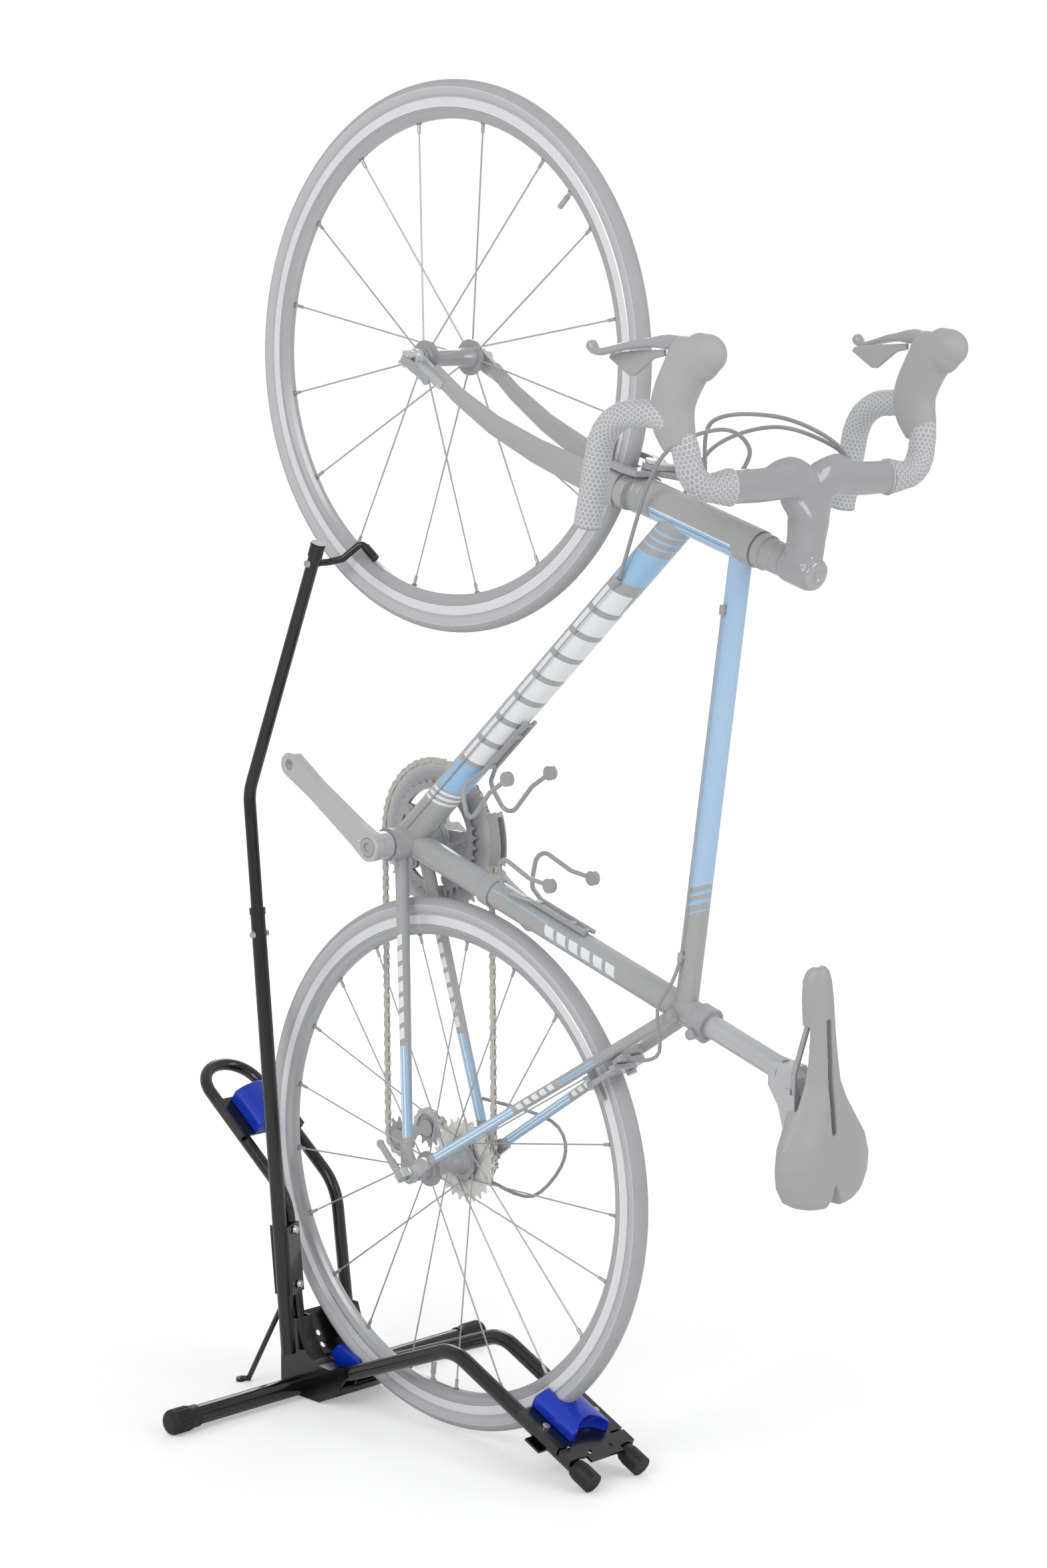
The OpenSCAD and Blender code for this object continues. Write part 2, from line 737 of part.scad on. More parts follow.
module chain() {
	color(C_METAL) home()
		for (i = [0:chain_links - 1]) {
			a = link_point(i);
			b = link_point((i + 1) % chain_links);
			t = atan2(b[1] - a[1], b[0] - a[0]);
			outer = i % 2 == 0;
			y0 = outer ? 1.8 : 1;
			translate([a[0],chain_line,a[1]])
				rotate([90,0,0])
					rotate([0,0,t]) {
						for (s = [0,1])
							mirror([0,0,s])
								translate([0,0,y0])
									linear_extrude(0.8)
										polygon(plate_outline(norm(b - a), 4));
						translate([0,0,-2.6])
							cylinder(h = 5.2, r = 1.8, $fn = 16);
						translate([0,0,-1])
							cylinder(h = 2, r = roller_r, $fn = 16);
					}
		}
}

module sprocket(n, t0, y, bore) {
	translate([0,y + cog_t / 2,0])
		rotate([90,0,0])
			linear_extrude(cog_t)
				difference() {
					polygon(sprocket_outline(n, t0));
					circle(bore);
				}
}

cog_list = [25,23,21,19,17,16,15,14,13,12];

module cassette() {
	color(C_METAL) home()
		translate(hub_r) {
			for (i = [0:9])
				sprocket(cog_list[i], phase(1), chain_line + (i - 5) * cog_pitch, 16.5);
			side_frame([0,0,0])
				translate([0,0,-chain_line - 4.5 * cog_pitch])
					difference() {
						cylinder(h = 9.6 * cog_pitch, r = 17.5);
						translate([0,0,-1])
							cylinder(h = 9.6 * cog_pitch + 2, r = drum_r + run_gap);
					}
		}
}

module pulley(c, t0) {
	color(C_PARTS) home()
		translate([c[0],chain_line,c[1]]) {
			sprocket(pulley_teeth, t0, 0, 4 + run_gap);
			side_frame([0,0,0])
				difference() {
					translate([0,0,-2.4])
						cylinder(h = 4.8, r = 9);
					translate([0,0,-3])
						cylinder(h = 6, r = 4 + run_gap);
				}
		}
}

module guide_pulley() {
	pulley(guide_c, phase(2));
}

module tension_pulley() {
	pulley(tension_c, phase(3));
}

function arm_turn(i) = crank_turn + 216 + i * 72;

module ring_plate(n, y, bore) {
	side_frame([bb[0],y + cog_t / 2,bb[2]])
		linear_extrude(cog_t)
			difference() {
				polygon(sprocket_outline(n, phase(0)));
				difference() {
					circle(bore);
					for (i = [0:4])
						rotate(arm_turn(i))
							translate([bolt_circle_r,0])
								circle(9);
				}
				for (i = [0:4])
					rotate(arm_turn(i))
						translate([bolt_circle_r,0])
							circle(4);
			}
}

module chainrings() {
	color(C_METAL) home() {
		ring_plate(ring_teeth, chain_line, 62);
		ring_plate(inner_ring_teeth, chain_line - 5.6, 61);
		for (i = [0:4])
			side_frame([bb[0],chain_line + cog_t / 2,bb[2]])
				rotate(arm_turn(i))
					translate([bolt_circle_r,0,0])
						cylinder(h = 9, r = 5);
	}
}

// Arm outline from the spindle to the pedal eye, along local x
module arm_blank(L) {
	linear_extrude(crank_t)
		union() {
			circle(18);
			translate([L,0])
				circle(15.5);
			polygon([[0,-18],[30,-15.5],[L * 0.7,-13],[L,-15.5],[L,15.5],[L * 0.7,13],[30,15.5],[0,18]]);
		}
}

module crank_left() {
	color(C_PARTS) home()
		translate([bb[0],-crank_outer_y + crank_t,bb[2]])
			rotate([90,0,0])
				rotate([0,0,crank_turn])
					difference() {
						union() {
							arm_blank(crank_len);
							translate([0,0,-crank_outer_y + crank_t + 43])
								cylinder(h = crank_outer_y - crank_t - 42, r = 17.5);
						}
						translate([0,0,-50])
							cylinder(h = 100, r = spindle_r + joint_gap);
						translate([crank_len,0,-1])
							cylinder(h = crank_t + 2, r = 7);
						translate([16,0,crank_t - 2])
							cylinder(h = 3, r = 3);
					}
}

module crank_right() {
	color(C_PARTS) home()
		translate([bb[0],0,bb[2]])
			rotate([90,0,0])
				rotate([0,0,crank_turn + 180])
									difference() {
										union() {
											translate([0,0,-crank_outer_y])
												arm_blank(crank_len);
											translate([0,0,-crank_outer_y + crank_t - 1])
												cylinder(h = crank_outer_y - crank_t + 1 - 42.6, r = 20);
											for (i = [0:4])
												rotate([0,0,36 + i * 72])
													translate([0,0,-52.5])
														linear_extrude(52.5 - chain_line - cog_t / 2) {
															polygon([[10,-10],[bolt_circle_r - 4,-6.5],[bolt_circle_r - 4,6.5],[10,10]]);
															translate([bolt_circle_r,0])
																circle(8);
														}
										}
										translate([crank_len,0,-crank_outer_y - 1])
											cylinder(h = crank_t + 2, r = 7);
										for (i = [0:4])
											rotate([0,0,36 + i * 72])
												translate([bolt_circle_r,0,-60])
													cylinder(h = 20, r = 3.2);
										translate([0,0,-crank_outer_y + 4])
											cylinder(h = 60, r = spindle_r + joint_gap);
									}
				}

				module crank_spindle() {
					color(C_PARTS) home()
						rod(bb - [0,crank_outer_y - 4,0], bb + [0,crank_outer_y - 4.1,0], spindle_r, ri = spindle_r - 2.5);
				}

module bb_cups() {
	color(C_PARTS) home()
		side_frame([bb[0],0,bb[2]])
			for (s = [0,1])
				mirror([0,0,s])
					difference() {
						union() {
							translate([0,0,bb_shell_w / 2])
								cylinder(h = 7.4, r = 21);
							translate([0,0,bb_shell_w / 2 - 14])
								cylinder(h = 14.5, r = bb_shell_r - 3.1);
						}
						translate([0,0,10])
							cylinder(h = 40, r = spindle_r + run_gap);
					}
}

// ---- frame

module head_cylinder(r) {
	rod(hp(head_low), hp(head_top), r);
}

module seat_cylinder(r) {
	rod(bb, sp(seat_tube_len), r);
}

module shell_cylinder(r, w = bb_shell_w) {
	side_frame(bb - [0,-w / 2,0])
		cylinder(h = w, r = r);
}

steer_bore_r = head_tube_r - 3.5;

module head_tube() {
	color(C_FRAME) home()
		difference() {
			head_cylinder(head_tube_r);
			rod(hp(head_low - 1), hp(head_top + 1), steer_bore_r);
		}
}

module headset() {
	color(C_PARTS) home()
		for (e = [[head_low,head_low + 13],[head_top - 13,head_top]])
			rod(hp(e[0]), hp(e[1]), steer_bore_r, ri = steerer_r + run_gap);
}

module down_tube() {
	color(C_FRAME) home()
		difference() {
			rod(down_bb, down_head, down_tube_r);
			head_cylinder(head_tube_r);
			shell_cylinder(bb_shell_r);
			seat_cylinder(seat_tube_r);
		}
}

module top_tube() {
	color(C_FRAME) home()
		difference() {
			rod(top_seat, top_head, top_tube_r);
			head_cylinder(head_tube_r);
			seat_cylinder(seat_tube_r);
		}
}

module seat_tube() {
	color(C_FRAME) home()
		difference() {
			union() {
				seat_cylinder(seat_tube_r);
				shell_cylinder(bb_shell_r);
			}
			rod(sp(seat_tube_len - seatpost_in - seatpost_travel - 5), sp(seat_tube_len + 1), seatpost_r + run_gap);
			rod(sp(0), sp(seat_tube_len - seatpost_in - seatpost_travel - 4), seat_tube_r - 2);
			shell_cylinder(bb_shell_r - 3.1, bb_shell_w + 2);
		}
}

stay_y = 64;
stay_low = [hub_r[0] - 8,stay_y,hub_r[2] + 35];
stay_high = hub_r + [30,stay_y,19.4];

// Dropout plates with the slots for the axle; the right one has the hanger
module dropouts() {
	h = rear_old / 2;
	for (s = [-1,1])
		difference() {
			union() {
				side_frame([hub_r[0],s > 0 ? h + dropout_t : -h,hub_r[2]])
					linear_extrude(dropout_t) {
						circle(13);
						polygon([[-13,2],[-14,36],[-3,38],[12,12]]);
						polygon([[-4,12],[22,24],[36,22],[36,14],[12,-4]]);
						if (s > 0)
							polygon([[-6,-12],[-20,-24],[-32,-22],[-34,-10],[-12,4]]);
					}
			}
			side_frame([hub_r[0],s > 0 ? h + dropout_t + 1 : -h + 1,hub_r[2]]) {
				cylinder(h = dropout_t + 2, r = axle_r + 0.1);
				translate([-20,-axle_r - 0.1,0])
					cube([20,2 * axle_r + 0.2,dropout_t + 2]);
			}
		}
}

module chain_stays() {
	color(C_FRAME) home() {
		difference() {
			both_sides() {
				rod(mix([bb[0] + 6,22,bb[2] - 37.8], stay_low, -0.07), stay_low, chainstay_r, 6.5);
				translate(stay_low)
					sphere(7.2);
			}
			shell_cylinder(bb_shell_r);
			seat_cylinder(seat_tube_r);
			rod(hub_r - [0,rear_old / 2 + 30,0], hub_r + [0,rear_old / 2 + 30,0], 13.5);
		}
		dropouts();
	}
}

stay_top = sp(seat_tube_len - 38, 0, 21);
stay_dir = unit([stay_top[0],0,stay_top[2]] - hub_r);
bridge_at = hub_r + stay_dir * 351.7;

module seat_stays() {
	color(C_FRAME) home()
		difference() {
			union() {
				both_sides()
					rod(stay_top, stay_high, seatstay_r, 6);
				rod(bridge_at - [0,33,0], bridge_at + [0,33,0], 7);
			}
			seat_cylinder(seat_tube_r);
			dropouts();
			for (s = [-1,1])
				translate([hub_r[0] - 30,s * rear_old / 2 + (s < 0 ? -dropout_t : 0),hub_r[2] - 30])
					cube([65,dropout_t,56]);
		}
}

// ---- fork and steering

crown_low = head_low - 28;

module fork_crown() {
	color(C_FRAME) home() {
		along(hp(crown_low), steer_u) {
			linear_extrude(14) {
				for (s = [-1,1])
					translate([0,s * 16])
						circle(blade_top_depth / 2);
				square([blade_top_depth,32], center = true);
			}
			translate([0,0,13])
				cylinder(h = 15 - seat_gap, r1 = 24, r2 = head_tube_r - 0.5);
		}
		rod(hp(head_low - 2), hp(stem_low + stem_clamp_h - 1), steerer_r);
	}
}

blade_mid = [for (p = [[338,0,26],[325,1,27.5],[270,3,33],[210,6,38],[140,15,44],
	[75,31,48],[32,47,50]]) hp(p[0], p[1] + 0, p[2])];

module fork_blades() {
	wid = [for (t = [0,0.05,0.25,0.45,0.7,0.9,1]) (blade_top_w + (11 - blade_top_w) * t) / 2];
	dep = [for (t = [0,0.05,0.25,0.45,0.7,0.9,1])
		(blade_top_depth + (blade_tip_depth - blade_top_depth) * t) / 2];
	color(C_FRAME) home()
		for (f = [0,1])
			difference() {
				sweep(f == 0 ? blade_mid : flips(blade_mid), wid, dep, steer_f, 24);
				along(hp(crown_low), steer_u)
					translate([-60,-60,0])
						cube([120,120,40]);
				tip_plates();
			}
}

module tip_plates() {
	both_sides()
		side_frame(hub_f + [0,front_old / 2 + dropout_t,0])
			linear_extrude(dropout_t) {
				circle(12);
				polygon([[2,12],[26,-6],[52,-24],[44,-36],[12,-20],[-6,-10]]);
			}
}

module fork_tips() {
	h = front_old / 2;
	color(C_METAL) home()
		difference() {
			tip_plates();
			both_sides()
				side_frame(hub_f + [0,h + dropout_t + 1,0]) {
					cylinder(h = dropout_t + 2, r = axle_r + 0.1);
					translate([-20,-axle_r - 0.1,0])
						cube([20,2 * axle_r + 0.2,dropout_t + 2]);
				}
		}
}

module handlebar_stem() {
	n = bar_axis;
	m = hp(stem_mid);
	color(C_PARTS) home() {
		rod(hp(head_top + seat_gap), hp(head_top + 14), 21, 19, ri = steerer_r);
		rod(hp(head_top + 14), hp(stem_low - 0.1), 18, ri = steerer_r);
		difference() {
			union() {
				rod(hp(stem_low), hp(stem_low + stem_clamp_h), 19.5);
				rod(m, n, 17, 15.5);
				rod(n - [0,22,0], n + [0,22,0], 21);
			}
			rod(hp(stem_low - 1), hp(stem_low + stem_clamp_h - 0.9), steerer_r);
			rod(n - [0,23,0], n + [0,23,0], 15.95);
		}
		rod(hp(stem_low + stem_clamp_h), hp(stem_low + stem_clamp_h + 4), 17);
	}
}

bar_corners = [bar_axis + [0,tape_start_y,0],bar_axis + [0,189,0],
	bar_axis + [-8.5,bar_half_w - 2,bar_reach - 1],bar_axis + [-110,bar_half_w + 3,bar_reach + 2],
	bar_axis + [-bar_drop - 5,bar_half_w + 3,-56]];
bar_bends = [35,43,hook_bend_r];

module handlebar() {
	c = bar_top_chord / 2;
	h = bar_top_h / 2;
	color(C_PARTS) home() {
		rod(bar_axis - [0,24,0], bar_axis + [0,24,0], 15.9);
		both_sides() {
			translate(bar_axis + [0,tape_start_y,0])
				rotate([90,0,0])
					linear_extrude(tape_start_y - 24) {
						square([2 * h,2 * (c - h)], center = true);
						for (s = [-1,1])
							translate([0,s * (c - h)])
								circle(h);
					}
			tube_path(bar_corners, bar_bends, bar_r);
		}
	}
}

module bar_tape() {
	color(C_RUBBER) home()
		both_sides() {
			tube_path(bar_corners, bar_bends, bar_r + tape_t, bar_r + 0.05);
			along(bar_corners[4], unit(bar_corners[4] - bar_corners[3])) {
				cylinder(h = 2.5, r = bar_r + tape_t);
			}
		}
}

// ---- controls

hood_y = bar_half_w - 8;
lever_pivot = bar_axis + [-18.4,hood_y,138];
paddle_pin = lever_pivot + [-19,0,0];
hood_outline = [[550,1266],[586,1265],[587,1280],[584,1295],[591,1313],[605,1332],[627,1338],
	[635,1345],[637,1354],[633,1366],[625,1373],[617,1377],[602,1382],[586,1376],[571,1376],
	[557,1375],[554,1362],[556,1350],[548,1334],[532,1306],[536,1284]];

module lever_hoods() {
	color(C_RUBBER) home()
		both_sides() {
			difference() {
				translate([0,hood_y,0])
					side_plate(-16, 16, hood_outline);
				tube_path(bar_corners, bar_bends, bar_r + tape_t + 0.05);
				translate([530,hood_y - 8,1324])
					cube([42,16,60]);
			}
			rod(lever_pivot - [0,9,0], lever_pivot + [0,9,0], 2.5);
		}
}

module brake_lever() {
	p = lever_pivot;
	pts = [for (q = [[4,0,1],[-16,0,4],[-40,7,3.5],[-62,13,1],[-80,17,-3],
		[-94,19,-6],[-103,20,-6],[-108,20,-2]]) p + q];
	color(C_PARTS) home() {
		difference() {
			union() {
				rod(p - [0,7,0], p + [0,7,0], 7.5);
				sweep(pts, [6.5,6.5,6,6,6,6,5,3], [5,5,4.2,4,4,3.8,3.2,2], [0,1,0], 16);
			}
			rod(p - [0,12,0], p + [0,12,0], 2.5 + run_gap);
		}
		rod(paddle_pin + [0,0,-26], paddle_pin + [0,0,2], 2);
	}
}

module shift_paddle() {
	p = paddle_pin;
	color(C_PARTS) home()
		difference() {
			union() {
				rod(p + [0,0,-24], p + [0,0,-7], 4.2);
				translate([0,p[1],0])
					side_plate(-1.5, 1.5, [for (q = [[0,-8],[-30,-8],[-66,-11],[-68,-15],[-46,-31],[-40,-32],
						[-24,-23],[0,-22]]) [p[0] + q[0],p[2] + q[1]]]);
			}
			rod(p + [0,0,-32], p + [0,0,0], 2 + run_gap);
		}
}

module brake_lever_left() {
	mirror([0,1,0])
		brake_lever();
}

module brake_lever_right() {
	brake_lever();
}

module shift_paddle_left() {
	mirror([0,1,0])
		shift_paddle();
}

module shift_paddle_right() {
	shift_paddle();
}

// ---- brakes

// Local frames of the brakes: x from the hub outwards, z along the bolt
module front_brake_frame() {
	multmatrix([[steer_u[0],0,steer_f[0],hp(0)[0]],[0,1,0,0],[steer_u[2],0,steer_f[2],hp(0)[2]]])
		children();
}

module rear_brake_frame() {
	multmatrix([[stay_dir[0],0,stay_dir[2],hub_r[0]],[0,-1,0,0],[stay_dir[2],0,-stay_dir[0],hub_r[2]]])
		children();
}

front_bolt_x = head_low - 11;
rear_bolt_x = 351.7;
front_brake_z = blade_top_depth / 2 + 4;
rear_brake_z = 9;
pad_r = 304;
arm_t = 7;

// One brake arm; k = -1 carries the pad on the -y side
module brake_arm(k, bx, z0, pad_z, hub_z) {
	px = sqrt(pad_r * pad_r - (pad_z - hub_z) * (pad_z - hub_z));
	zz = z0 + (k > 0 ? arm_t + 0.4 : 0);
	y0 = rim_w / 2 + pad_gap;
	side = [[9,0],[8,14],[4,26],[-10,34],[-34,33],[-50,27],[-55,22],[-55,17],[-46,18],
		[-36,23],[-20,24],[-10,18],[-8,4]];
	tail = k < 0 ? [[-7,3],[8,-32],[24,-36],[30,-31],[24,-24],[9,-8]] :
		[[-6,6],[6,30],[12,46],[20,44],[16,30],[8,-4]];
	color(C_PARTS) {
		difference() {
			union() {
				translate([bx,0,zz])
					linear_extrude(arm_t) {
						circle(9);
						mirror([0,k < 0 ? 1 : 0])
							polygon(side);
						mirror([0,k < 0 ? 1 : 0])
							polygon(tail);
					}
				translate([px,k * y0,zz])
					rotate([-90 * k,0,0])
						translate([0,0,3])
							cylinder(h = 12, r = 3);
				translate([px - 4,k > 0 ? y0 + 3 : -y0 - 12,zz])
					cube([8,9,arm_t]);
			}
			translate([bx,0,zz - 1])
				cylinder(h = arm_t + 2, r = 3 + run_gap);
		}
		translate([px,k * y0,pad_z])
			rotate([-90 * k,0,0])
				linear_extrude(5)
					square([9,48], center = true);
	}
}

module brake_bolt(bx, z0, back) {
	translate([bx,0,back])
		cylinder(h = z0 + 2 * arm_t + 3 - back, r = 3);
	translate([bx,0,z0 + 2 * arm_t + 1])
		cylinder(h = 4, r = 6.5);
	translate([bx,0,back])
		cylinder(h = z0 - 0.4 - back, r = 6.2);
}

module front_brake_arm_left() {
	home()
		front_brake_frame()
			brake_arm(-1, front_bolt_x, front_brake_z, front_brake_z + arm_t, fork_rake);
}

module front_brake_arm_right() {
	home()
		front_brake_frame()
			brake_arm(1, front_bolt_x, front_brake_z, front_brake_z + arm_t, fork_rake);
}

module rear_brake_arm_left() {
	home()
		rear_brake_frame()
			brake_arm(1, rear_bolt_x, rear_brake_z, rear_brake_z + arm_t, 0);
}

module rear_brake_arm_right() {
	home()
		rear_brake_frame()
			brake_arm(-1, rear_bolt_x, rear_brake_z, rear_brake_z + arm_t, 0);
}

module front_brake_bolt() {
	color(C_METAL) home()
		front_brake_frame()
			difference() {
				brake_bolt(front_bolt_x, front_brake_z, 14);
				translate([front_bolt_x - 20,0,0])
					rotate([0,90,0])
						cylinder(h = 60, r = blade_top_depth / 2 + 4.4);
			}
}

module rear_brake_bolt() {
	color(C_METAL) home()
		difference() {
			rear_brake_frame()
				brake_bolt(rear_bolt_x, rear_brake_z, 0);
			rod(bridge_at - [0,33,0], bridge_at + [0,33,0], 7);
		}
}

// ---- saddle

post_top = sp(seat_tube_len + seatpost_show - 26);
rail_x = post_top[0] + 35.7;
saddle_nose_z = post_top[2] + 128.6;
saddle_top_x = post_top[0] + 72.7;

module seatpost() {
	t = post_top;
	w = seatpost_r;
	color(C_PARTS) home()
		difference() {
			union() {
				rod(sp(seat_tube_len - seatpost_in), t, w);
				side_plate(-w + 1, w - 1, [for (q = [[-12,13],[24,8],[29,-4],[29,-70],[22,-84],[15,-84],
					[11,-64],[3,-38],[-12,-16]]) [t[0] + q[0],t[2] + q[1]]]);
				translate([rail_x - 9.5,-27,t[2] - 62])
					cube([7,54,50]);
				translate([rail_x - 2.5,-27,t[2] - 58])
					cube([7,54,40]);
				translate([rail_x - 9.5,-6,t[2] - 40])
					cube([12,12,12]);
			}
			rod(sp(seat_tube_len - seatpost_in - 1), sp(seat_tube_len + 40), w - 2.5);
			for (s = [-1,1])
				rod([rail_x,s * 22,t[2] - 72], [rail_x,s * 22,t[2]], 3.55);
		}
}

rail_pts = [[rail_x + 19,9,saddle_nose_z - 42],[rail_x + 10,13,saddle_nose_z - 72],
	[rail_x,22,post_top[2] + 6],[rail_x,22,post_top[2] - 76],[rail_x + 17,36,post_top[2] - 112]];

module saddle_rails() {
	color(C_METAL) home()
		both_sides()
			tube_path(rail_pts, [20,16,24], 3.5);
}

// Saddle stations from tail to nose: distance ahead of the tail, half
// width share, height of the middle, and fall of the edges
saddle_rows = [[0,0.42,2,3],[4,0.62,6,5],[12,0.82,8,7],[30,0.97,9,8],[50,1,9,8],
	[73,0.93,8,9],[95,0.74,6,10],[118,0.54,4,11],[140,0.4,1,11],[165,0.32,0,10],
	[195,0.29,-3,9],[235,0.28,-6,9],[255,0.25,-8,9],[266,0.18,-10,8],[271,0.08,-13,4]];

module saddle() {
	n = 24;
	rings = [for (r = saddle_rows)
		let (w = saddle_w / 2 * r[1], th = min(32, 8 + w * 0.6))
			[for (k = [0:n - 1])
				let (t = 360 * k / n, c = cos(t), s = sin(t),
				y = w * sign(c) * pow(abs(c), 0.75),
				top = saddle_top_x + r[2] - r[3] * pow(abs(y) / w, 2.2),
				low = top - th + (abs(y) < w * 0.6 ? 6 : 0))
					[s >= 0 ? mix(top - th / 2, top, pow(s, 0.6)) : mix(top - th / 2, low, pow(-s, 0.6)),
					y,saddle_nose_z - saddle_len + r[0] * saddle_len / 272]]];
	m = len(rings);
	color(C_PARTS) home()
		difference() {
			polyhedron(points = [for (r = rings) for (p = r) p],
			faces = concat(
				[[for (k = [0:n - 1]) n - 1 - k]],
				[for (i = [0:m - 2]) for (k = [0:n - 1])
					[i * n + k,i * n + (k + 1) % n,(i + 1) * n + (k + 1) % n]],
					[for (i = [0:m - 2]) for (k = [0:n - 1])
						[i * n + k,(i + 1) * n + (k + 1) % n,(i + 1) * n + k]],
						[[for (k = [0:n - 1]) (m - 1) * n + k]]));
			translate([saddle_top_x - 60,0,saddle_nose_z - saddle_len])
				rotate([0,90,0])
					linear_extrude(120)
						polygon([[4,-13],[4,13],[-8,8],[-18,3.5],[-26,0],[-18,-3.5],[-8,-8]]);
			translate([saddle_top_x - 60,-saddle_slot_w / 2,saddle_nose_z - 190])
				cube([120,saddle_slot_w,130]);
			translate([saddle_top_x - 60,-43,saddle_nose_z - saddle_len - 10])
				cube([60 - 17,86,214]);
			both_sides()
				rod(mix(rail_pts[0], rail_pts[1], -0.02), mix(rail_pts[0], rail_pts[1], 1.6), 3.9);
		}
}

clamp_a = seat_tube_len - 8;

module seat_clamp() {
	color(C_PARTS) home()
		difference() {
			union() {
				rod(sp(clamp_a - 9), sp(clamp_a + 9), seat_tube_r + 3.4);
				rod(sp(clamp_a, -12, -24), sp(clamp_a, -12, 24), 6.5);
				rod(sp(clamp_a - 6, -10, 0), sp(clamp_a + 6, -10, 0), 14);
			}
			rod(sp(clamp_a - 30), sp(clamp_a + 30), seat_tube_r);
			rod(sp(clamp_a, -16, -30), sp(clamp_a, -16, 30), 0.5);
		}
}

// ---- bottle cages

// Local frame of a cage: x out from the frame tube, z along it
module cage_frame(o, d, out) {
	n = unit(out);
	y = cross(unit(d), n);
	multmatrix([[n[0],y[0],unit(d)[0],o[0]],[n[1],y[1],unit(d)[1],o[1]],[n[2],y[2],unit(d)[2],o[2]]])
		children();
}

module cage(back) {
	w = bottle_r;
	r = cage_rod_r;
	for (s = [-1,1])
		mirror([0,s < 0 ? 1 : 0,0]) {
			tube_path([[back,8,62],[back,8,-30],[back,24,-66],[back + 46,34,-78],[back + 40,36,-20],
				[back + 46,w,16]], [14,16,14,16], r);
			translate([back + 46,w,16])
				rotate([90,0,0])
					cylinder(h = 7, r = 9, center = true);
		}
	rod([back,-8,56], [back,8,56], r - 0.4);
	translate([back - r - 0.2,-7,-32])
		cube([2.6,14,84]);
}

module bottle_cages() {
	d1 = unit(down_head - down_bb);
	o1 = down_bb + d1 * 206;
	s1 = unit([d1[2],0,-d1[0]]);
	o2 = sp(255);
	color(C_METAL) home() {
		cage_frame(o1, d1, s1)
			cage(down_tube_r + cage_rod_r + 0.3);
		cage_frame(o2, seat_u, seat_f)
			cage(seat_tube_r + cage_rod_r + 0.3);
		for (q = [-26,34]) {
			rod(o1 + d1 * q + s1 * down_tube_r, o1 + d1 * q + s1 * (down_tube_r + 4.6), 4.4);
			rod(o2 + seat_u * q + seat_f * seat_tube_r, o2 + seat_u * q + seat_f * (seat_tube_r + 4.6), 4.4);
		}
	}
}

// ---- derailleurs

hanger = hub_r + [-27,0,-17];
mech_y = rear_old / 2 + dropout_t;

module rear_derailleur() {
	g = [guide_c[0],0,guide_c[1]];
	t = [tension_c[0],0,tension_c[1]];
	a = [hanger[0],0,hanger[2]];
	color(C_PARTS) home() {
		rod(a + [0,mech_y,0], a + [0,mech_y + 20,0], 9);
		difference() {
			union() {
				rod(a + [0,mech_y + 12,0], g + [4,chain_line + 16,-6], 8, 9);
				rod(g + [0,chain_line + 6.2,0], g + [0,chain_line + 22,0], 12);
			}
			rod(g + [0,chain_line - 5,0], g + [0,chain_line + 6.2,0], 40);
		}
		for (y = [chain_line - 5.4,chain_line + 3.6])
			difference() {
				union() {
					rod(g + [0,y,0], g + [0,y + 2,0], 11);
					rod(t + [0,y,0], t + [0,y + 2,0], 10);
					translate([g[0],y,g[2]])
						rotate([0,180 - cage_turn + 180,0])
							translate([0,0,-6])
								cube([cage_len,2,12]);
				}
			}
		rod(g + [0,chain_line - 5.4,0], g + [0,chain_line + 7,0], 4);
		rod(t + [0,chain_line - 5.4,0], t + [0,chain_line + 5.6,0], 4);
		rod(g + [0,chain_line + 5.6,0], g + [0,chain_line + 6.2,0], 11);
		rod(a + [8,mech_y + 9,8], a + [29,mech_y - 2,-17], 3.4);
	}
}

module front_derailleur() {
	c = [bb[0],0,bb[2]];
	color(C_PARTS) home() {
		for (y = [chain_line - 6.4,chain_line + 4.6])
			translate([bb[0],y + 1.6,bb[2]])
				rotate([90,0,0])
					rotate([0,0,-12])
						rotate_extrude(angle = 34)
							translate([ring_cage_r,0])
								square([17,1.6]);
		translate([bb[0],chain_line + 4.7,bb[2]])
			rotate([90,0,0])
				rotate([0,0,-11.4])
					rotate_extrude(angle = 3)
						translate([ring_cage_r + 10,0])
							square([6.4,9.6]);
		translate([bb[0],chain_line + 4.7,bb[2]])
			rotate([90,0,0])
				rotate([0,0,18.4])
					rotate_extrude(angle = 3)
						translate([ring_cage_r + 10,0])
							square([6.4,9.6]);
		difference() {
			union() {
				rod(sp(142), sp(160), seat_tube_r + 3);
				rod(sp(150, 12, 0), sp(124, 4, chain_line - 5.6), 7);
			}
			rod(sp(100), sp(180), seat_tube_r);
		}
	}
}
ring_cage_r = pitch_r(ring_teeth) + tooth_h + 1.6;

// ---- cables

cable_r = 2.3;
wire_r = 0.9;

// Housings that leave the bar and loop past the head tube; they bend with it
module front_cables() {
	s = bar_axis;
	d = unit(down_head - down_bb);
	stopl = down_stop(-1) + d * 1.8;
	stopr = down_stop(1) + d * 1.8;
	color(C_RUBBER) home() {
		cable([s + [-17,-110,2],s + [-30,-70,28],s + [-90,-44,46],s + [-170,-38,24],
			s + [-212,-36,-20],stopl], cable_r, 3);
		cable([s + [-17,110,2],s + [-30,70,28],s + [-90,44,46],s + [-170,38,24],
			s + [-212,36,-20],stopr], cable_r, 3);
		cable([s + [-17,100,-3],s + [-22,60,34],s + [-60,6,62],s + [-130,-22,52],
			front_brake_stop + steer_u * 30 + [0,-2,8],front_brake_stop], cable_r, 3);
	}
}

